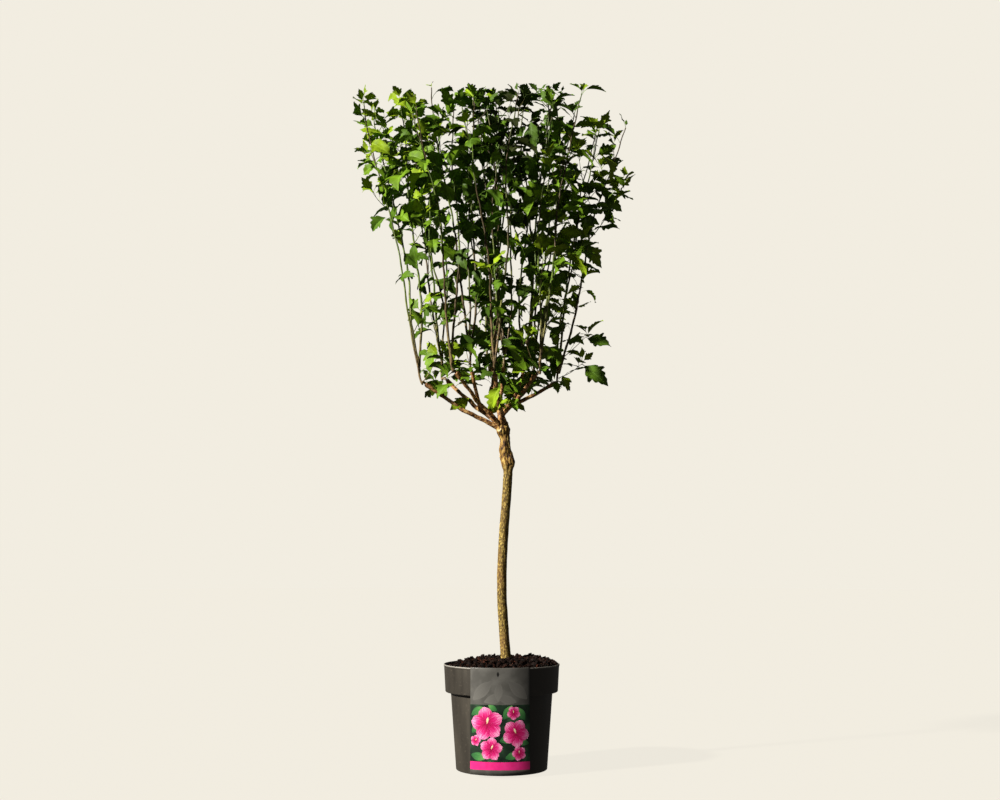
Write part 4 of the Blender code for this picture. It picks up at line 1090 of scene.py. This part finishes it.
def painted_light(place):
    """How much painted light and shade a spray's tint gets.

    It rises outwards, upwards, to the sunny left, and in bell curves over the height on the right and at
    the fork, less the bell curves of SHADED: all of it painted light and painted shade.
    """
    reach = np.interp(place[2], REACH[:, 0], REACH[:, 1])
    outer = min(1.0, math.hypot(place[0] - CROWN_MIDDLE[0], place[1]) / reach)
    high = np.clip((place[2] - CROWN_FOOT) / (CROWN_TOP - CROWN_FOOT), 0.0, 1.0)
    sunny = -SUNNY_LIGHT * place[0] / reach * (0.5 + 0.5 * high)
    right = min(1.0, max(0.0, place[0] / 0.20)) * swelling(place[2], *RIGHT_LIGHT)
    fork = swelling(place[2], *FORK_LIGHT)
    return OUTER_LIGHT * outer**2 + HIGH_LIGHT * high + sunny + right + fork - bells(place, SHADED)


leaf_dice = random.Random(SEED + 100)
sprays = []
for line in whip_lines:
    rows = leaves_on(line, LEAF_SPACING, LEAF_FROM[0], LEAF_SIZES[0], leaf_dice)
    sprays += [rows[k:k + SPRAY] for k in range(0, len(rows), SPRAY)]
for line in shoot_lines:
    sprays.append(leaves_on(line, SHOOT_LEAF_SPACING, LEAF_FROM[1], LEAF_SIZES[1], leaf_dice))
for name, *_ in BOUGHS:
    for share in FORK_SHARES if limbs[name][0][-1][0] > LEFT_SIDE else FORK_SHARES[-1:]:
        root, heading = along(limbs[name][0], share)
        turn = leaf_dice.uniform(0.0, math.tau)
        root = root + FORK_LIFT * np.array((math.cos(turn), math.sin(turn), 0.3))
        pair = [grow_leaf(root, heading, turn + FORK_TURN * k, FORK_AGE, leaf_dice) for k in range(2)]
        sprays.append(pair)
carriers = {name: limb[0] for name, limb in limbs.items()}
carriers.update((f"outer_twig_{k}", twig) for k, twig in enumerate(outer_twigs))
hanging = []
for name, share, foot, tip in LOW_LEAVES:
    root, stalk = along(carriers[name], share)[0], np.array(foot)
    blade = np.array(tip) - foot
    face = unit(LOW_FACE - unit(blade) * (LOW_FACE @ unit(blade)))
    hanging.append((root, unit(stalk - root), unit(unit(blade) + DROOPING * face), face,
                    LOW_SWELL * np.linalg.norm(blade), np.linalg.norm(stalk - root), 1.0))

# The low hanging leaves take the three palest tints, as painted light.
by_tint = {name: [] for name, _ in TINTS}
by_tint["yellow_green"] += hanging[:3]
by_tint["fresh_green"] += hanging[3:6]
by_tint["bright_green"] += hanging[6:]
names = [name for name, _ in TINTS]
# Each spray's tint follows its painted light and shade.
for spray in sprays:
    bright = painted_light(np.mean([row[0] for row in spray], axis=0))
    bright += leaf_dice.uniform(-TINT_VARIES, TINT_VARIES)
    rank = int(np.searchsorted(TINT_STEPS, bright))
    for row in spray:
        paler = (row[6] < 0.3) + (leaf_dice.random() < PALER_SHARE)
        for shrink in SHRINKS:
            smaller = (*row[:4], shrink * row[4], shrink * row[5], row[6])
            if keeps_clear(smaller):
                by_tint[names[max(0, len(TINTS) - 1 - rank - paler)]].append(smaller)
                break


def leaf_finish(name, colour):
    """A leaf of one tint: slightly mottled, with a paler midrib and side veins that slant forwards."""
    made, tree, shader, place = material(name, colour, 0.5, 0.14)
    light = tuple(min(1.0, LIGHTER * c) for c in colour)
    dark = tuple(DARKER * c for c in colour)
    mottled = ramp(tree, noise(tree, place, 45.0, 3.0), [(0.36, dark), (0.52, colour), (0.68, light)])
    blade = node(tree, "ShaderNodeTexCoord").outputs["UV"]
    aside = maths(tree, "ABSOLUTE", part_of(tree, blade, "Y"))
    slant = maths(tree, "MULTIPLY_ADD", aside, VEIN_SLANT, part_of(tree, blade, "X"))
    stripes = maths(tree, "PINGPONG", slant, VEIN_GAP)
    veins = maths(tree, "MAXIMUM", between(tree, aside, 1.0, 0.0, 0.008, 0.026),
                  between(tree, stripes, 0.55, 0.0, 0.004, 0.022))
    pale = tuple(min(1.0, VEIN_PALER[0] * c + VEIN_PALER[1]) for c in colour)
    paint(tree, shader, blend_colours(tree, maths(tree, "MULTIPLY", veins, VEIN_SHARE), mottled, pale),
          between(tree, noise(tree, place, 60.0, 2.0), 0.42, 0.64))
    relief(tree, shader, veins, 0.35, 0.0005)
    return made


blade_dice = np.random.default_rng(SEED)
for name, colour in TINTS:
    leaves = leaf_piece(f"leaves_{name}", by_tint[name], blade_dice)
    fit(leaves, "leaf", leaf_finish(f"leaf_{name}", colour), *foliage_nodes)

# Plant card. A sheet of printed plastic, 0.8 mm thick, bent to the pot and folded over its rim, where a
# short flap inside holds it. Anthracite, with a picture of simple blooms among leaves on a dark
# green ground, and a magenta band near its foot. The print is a generic design.
CARD_WIDTH = 0.1335
CARD_THICKNESS = 0.0008
CARD_FOOT, CARD_TAB, CARD_FOLD = 0.006, 0.007, 0.0009
CARD_ROWS, CARD_COLUMNS = 24, 49
CARD_TURN = math.radians(-1.8)
CARD_MIDDLE = -math.pi / 2 + CARD_TURN
CARD_OUTER = RIM_RADIUS + GAP + CARD_THICKNESS / 2
CARD_TOP = POT_HEIGHT + GAP + CARD_THICKNESS / 2
INK = 0.00004
PICTURE_FOOT, PICTURE_TOP = 0.034, 0.154
BAND_FOOT, BAND_TOP = 0.017, 0.034
BLOOMS = (  # across, height, size, turn
    (-0.028, 0.114, 0.036, 0.5), (0.035, 0.094, 0.030, 1.1), (-0.019, 0.061, 0.025, 0.2),
    (0.030, 0.137, 0.015, 0.9), (-0.054, 0.078, 0.012, 0.1), (0.042, 0.052, 0.016, 0.7),
)
PRINTED_LEAVES = (  # across, height, length, direction
    (-0.064, 0.132, 0.034, 0.5), (0.008, 0.124, 0.034, 1.0), (0.055, 0.122, 0.030, 2.1),
    (0.000, 0.078, 0.036, 0.25), (-0.064, 0.048, 0.034, -0.2), (0.012, 0.042, 0.030, 0.3),
    (-0.006, 0.142, 0.022, 2.6), (0.064, 0.072, 0.028, 2.9), (-0.062, 0.094, 0.026, 0.9),
)


def card_sheet():
    """The bent sheet: its section, with a rounded fold, swept round the rim by the card's width."""
    tab_radius = RIM_RADIUS - WALL - COLLAR_TAPER - GAP
    section = rounded([(tab_radius, POT_HEIGHT - CARD_TAB), (tab_radius, CARD_TOP), (CARD_OUTER, CARD_TOP),
                       (CARD_OUTER, CARD_FOOT)], CARD_FOLD, 6)
    down = section[-1] + (section[-2] - section[-1]) * np.linspace(1, 0, CARD_ROWS)[1:, None]
    section = np.concatenate([section[:-1], down])
    angle = CARD_MIDDLE + CARD_WIDTH / CARD_OUTER * np.linspace(-0.5, 0.5, CARD_COLUMNS)
    points = cylindrical(section[:, :1], angle, section[:, 1:])
    faces = grid_faces(1, len(section), len(angle), points[..., 0].size)
    sheet = new_piece("card_sheet", points.reshape(-1, 3), [faces[:, ::-1]])
    thick = sheet.modifiers.new("thickness", "SOLIDIFY")
    thick.thickness = CARD_THICKNESS
    thick.offset = 0.0
    return applied(sheet)


def printed(name, shapes, layer, finish):
    """Ink on the card's front: each shape is a grid of places across and up, and of its own UV.

    A place across is an arc length from the card's middle. Each shape lies a hair over the one before.
    """
    points, faces, uvs, start = [], [], [], 0
    for number, (across, height, u, v) in enumerate(shapes):
        radius = CARD_OUTER + CARD_THICKNESS / 2 + INK * (layer + 0.5 * number / len(shapes))
        angle = CARD_MIDDLE + across / CARD_OUTER
        points.append(cylindrical(radius, angle, height).reshape(-1, 3))
        uvs.append(np.stack([u, v], -1).reshape(-1, 2))
        faces.append(grid_faces(1, *across.shape, across.size) + start)
        start += across.size
    piece = new_piece(name, np.concatenate(points), faces, uv=np.concatenate(uvs))
    return fit(piece, "printed_card", finish, "plant_card")


def laid(across, height, turn, u, v, t, s):
    """A printed shape of points u along and v across, turned and set in its place."""
    return (across + u * math.cos(turn) - v * math.sin(turn),
            height + u * math.sin(turn) + v * math.cos(turn), t, s)


def lens(across, height, size, turn, half_width, blunt, rows=13, columns=9):
    """A leaf or petal: half its width is a power of a sine of the share along it.

    Its two ends are rounded by the blunt share of the square of the place across it.
    """
    t, s = np.meshgrid(np.linspace(0.0, 1.0, rows), np.linspace(-1.0, 1.0, columns), indexing="ij")
    width = half_width * np.sin(math.pi * (0.04 + 0.93 * t ** (1.0 + blunt))) ** (1.0 - 0.45 * blunt)
    return laid(across, height, turn, size * (t - 0.28 * blunt * t * s**2), size * width * s, t, s)


def petal(across, height, size, turn, rows=15, columns=11):
    """A petal: narrow at its foot, an ellipse round its widest place, and waved along its outer edge."""
    t, s = np.meshgrid(np.linspace(0.0, 1.0, rows), np.linspace(-1.0, 1.0, columns), indexing="ij")
    width = np.where(t > 0.62, np.sqrt(np.clip(1.0 - ((t - 0.62) / 0.39) ** 2, 0.0, 1.0)),
                     0.22 + 0.78 * np.sin(0.5 * math.pi * t / 0.62))
    u = size * t * (1.0 - 0.05 * s**2 + 0.025 * t * np.cos(9.0 * s + turn))
    return laid(across, height, turn, u, 0.43 * size * width * s, t, s)


def panel(left, right, foot, top):
    """A rectangle on the card."""
    across, height = np.meshgrid(np.linspace(left, right, CARD_COLUMNS), np.linspace(foot, top, 9))
    return across[::-1], height[::-1], across[::-1], height[::-1]


def ink(name, stops, streaks=0.0, size=70.0):
    """Half-glossy ink whose colour runs along the UV's first axis, in streaks or in soft clouds."""
    made, tree, shader, place = material(name, stops[0][1], 0.34, 0.45)
    if streaks:
        blade = node(tree, "ShaderNodeTexCoord").outputs["UV"]
        rays = noise(tree, blade, 3.0, 3.0, (0.5, 4.0, 1.0))
        shift = between(tree, rays, -streaks, streaks, 0.25, 0.75)
        value = maths(tree, "ADD", part_of(tree, blade, "X"), shift)
        edge = maths(tree, "ABSOLUTE", part_of(tree, blade, "Y"))
        shaded = between(tree, edge, 0.0, 0.45, 0.72, 1.0)
        colour = blend_colours(tree, shaded, ramp(tree, value, stops), stops[0][1])
    else:
        colour = ramp(tree, noise(tree, place, size, 2.0), stops)
    paint(tree, shader, colour)
    relief(tree, shader, noise(tree, place, 260.0, 2.0), 0.1, 0.0002)
    return made


card = card_sheet()
anthracite = ink("anthracite", [(0.40, (0.085, 0.082, 0.074)), (0.66, (0.120, 0.116, 0.106))], size=40.0)
fit(card, "printed_card", anthracite, "plant_card")
half_card = CARD_WIDTH / 2
printed("print_ground", [panel(-half_card, half_card, PICTURE_FOOT, PICTURE_TOP)], 1.0,
        ink("ground_ink", [(0.38, (0.006, 0.014, 0.009)), (0.55, (0.014, 0.036, 0.018)),
                           (0.72, (0.045, 0.120, 0.050))], size=34.0))
printed("print_band", [panel(-half_card, half_card, BAND_FOOT, BAND_TOP)], 1.0,
        ink("magenta_ink", [(0.4, (0.76, 0.020, 0.205)), (0.7, (0.84, 0.032, 0.25))]))
printed("print_shadow_leaves", [lens(*row, 0.22, 0.0) for row in (
    (-0.060, 0.164, 0.058, 0.75), (-0.034, 0.160, 0.046, 0.30), (0.060, 0.166, 0.056, 2.4),
    (0.036, 0.160, 0.042, 2.90), (-0.004, 0.162, 0.040, 1.5))], 1.0,
        ink("shadow_ink", [(0.0, (0.150, 0.145, 0.132)), (1.0, (0.100, 0.096, 0.088))], 0.3))
printed("print_leaves", [lens(*row, 0.27, 0.0) for row in PRINTED_LEAVES], 2.0,
        ink("green_ink", [(0.0, (0.020, 0.100, 0.030)), (0.5, (0.060, 0.230, 0.060)),
                          (1.0, (0.150, 0.380, 0.100))], 0.35))
petals = [petal(u, v, size, turn + math.tau * k / 5)
          for u, v, size, turn in BLOOMS for k in range(5)]
printed("print_petals", petals, 3.0,
        ink("petal_ink", [(0.06, (0.34, 0.003, 0.055)), (0.38, (0.68, 0.008, 0.150)),
                          (0.68, (0.82, 0.050, 0.300)), (0.94, (0.95, 0.380, 0.620))], 0.55))
stamens = [lens(u, v, 0.42 * size, turn + 0.9, 0.17, 0.6) for u, v, size, turn in BLOOMS]
printed("print_stamens", stamens, 4.0,
        ink("stamen_ink", [(0.0, (0.80, 0.55, 0.30)), (1.0, (0.95, 0.86, 0.60))], 0.2))
# The hang slot is not cut through: a near-black lens on the card's face is its painted shade.
printed("painted_slot_shade", [lens(-0.004, 0.2125, 0.012, 1.5708, 0.22, 0.4)], 1.0,
        ink("slot_shade_ink", [(0.3, (0.005, 0.005, 0.005)), (0.8, (0.010, 0.010, 0.009))]))

# Floor, light and camera. A pale studio floor and backdrop, one firm key light from the upper left in
# front, a weak fill all round, and the camera at knee height, 3.1 m in front of the pot.
PALE = (0.887, 0.847, 0.753)
FILL = 0.068
KEY_STRENGTH = 6.9
KEY_AZIMUTH, KEY_HEIGHT, KEY_WIDTH = math.radians(-61), math.radians(28), math.radians(3)
FLOOR_PAINT = 0.05
KEY_COLOUR, FILL_COLOUR = (1.0, 0.96, 0.88), (1.0, 0.97, 0.92, 1.0)
FLOOR_RADII, UNDER_POT, STAGE_STEPS = (14.0, 4.0, 0.5), -0.0002, 64
DOME_FROM, DOME_TO, DOME_RINGS = -0.2, 1.5, 24
CAMERA_PLACE, CAMERA_TILT, CAMERA_LENS = (-0.0037, -3.1, 0.49), math.radians(6.1975), 48.92


def glowing(name, colour, strength, diffuse=0.0):
    """A surface of its own light, with a share of plain diffuse paint that takes shadows."""
    made = bpy.data.materials.new(name)
    made.use_nodes = True
    tree = made.node_tree
    tree.nodes.remove(tree.nodes["Principled BSDF"])
    light = node(tree, "ShaderNodeEmission", {"Color": (*colour, 1.0), "Strength": strength})
    paint = node(tree, "ShaderNodeBsdfDiffuse", {"Color": (*(diffuse * c for c in colour), 1.0)})
    both = node(tree, "ShaderNodeAddShader")
    tree.links.new(light.outputs[0], both.inputs[0])
    tree.links.new(paint.outputs[0], both.inputs[1])
    tree.links.new(both.outputs[0], tree.nodes["Material Output"].inputs["Surface"])
    return made


def backdrop_only(obj):
    """Lets a stage piece be seen, and keeps it from lighting the plant."""
    obj.visible_diffuse = obj.visible_glossy = obj.visible_transmission = obj.visible_shadow = False


disc = turned(np.array([(radius, UNDER_POT) for radius in FLOOR_RADII]), STAGE_STEPS)[0]
middle = np.arange(STAGE_STEPS)[None] + (len(FLOOR_RADII) - 1) * STAGE_STEPS
floor = new_piece("floor", disc.reshape(-1, 3), [ring_quads(len(FLOOR_RADII), STAGE_STEPS), middle])
lit = KEY_STRENGTH * math.sin(KEY_HEIGHT) / math.pi + FILL
floor.data.materials.append(glowing("pale_floor", PALE, 1.0 - FLOOR_PAINT * lit, FLOOR_PAINT))
backdrop_only(floor)
dome_angle = np.linspace(DOME_FROM, DOME_TO, DOME_RINGS)
dome_rings = turned(FLOOR_RADII[0] * np.stack([np.cos(dome_angle), np.sin(dome_angle)], -1), STAGE_STEPS)
dome_ends = [np.array([[0, 0, height]]) for height in (FLOOR_RADII[0] * DOME_FROM, FLOOR_RADII[0])]
dome = new_piece("backdrop", *skin(dome_rings, *dome_ends))
dome.data.materials.append(glowing("pale_backdrop", PALE, 1.0))
backdrop_only(dome)

world = bpy.data.worlds.new("studio")
bpy.context.scene.world = world
world.use_nodes = True
world.node_tree.nodes["Background"].inputs["Color"].default_value = FILL_COLOUR
world.node_tree.nodes["Background"].inputs["Strength"].default_value = FILL
key = bpy.data.objects.new("key_light", bpy.data.lights.new("key_light", "SUN"))
key.data.energy = KEY_STRENGTH
key.data.angle = KEY_WIDTH
key.data.color = KEY_COLOUR
key.rotation_euler = (math.pi / 2 - KEY_HEIGHT, 0.0, KEY_AZIMUTH)
bpy.context.scene.collection.objects.link(key)
bpy.context.scene.view_settings.view_transform = "Standard"

camera = bpy.data.objects.new("camera", bpy.data.cameras.new("camera"))
camera.data.lens = CAMERA_LENS
camera.location = CAMERA_PLACE
camera.rotation_euler = (math.pi / 2 + CAMERA_TILT, 0.0, 0.0)
bpy.context.scene.collection.objects.link(camera)
bpy.context.scene.camera = camera
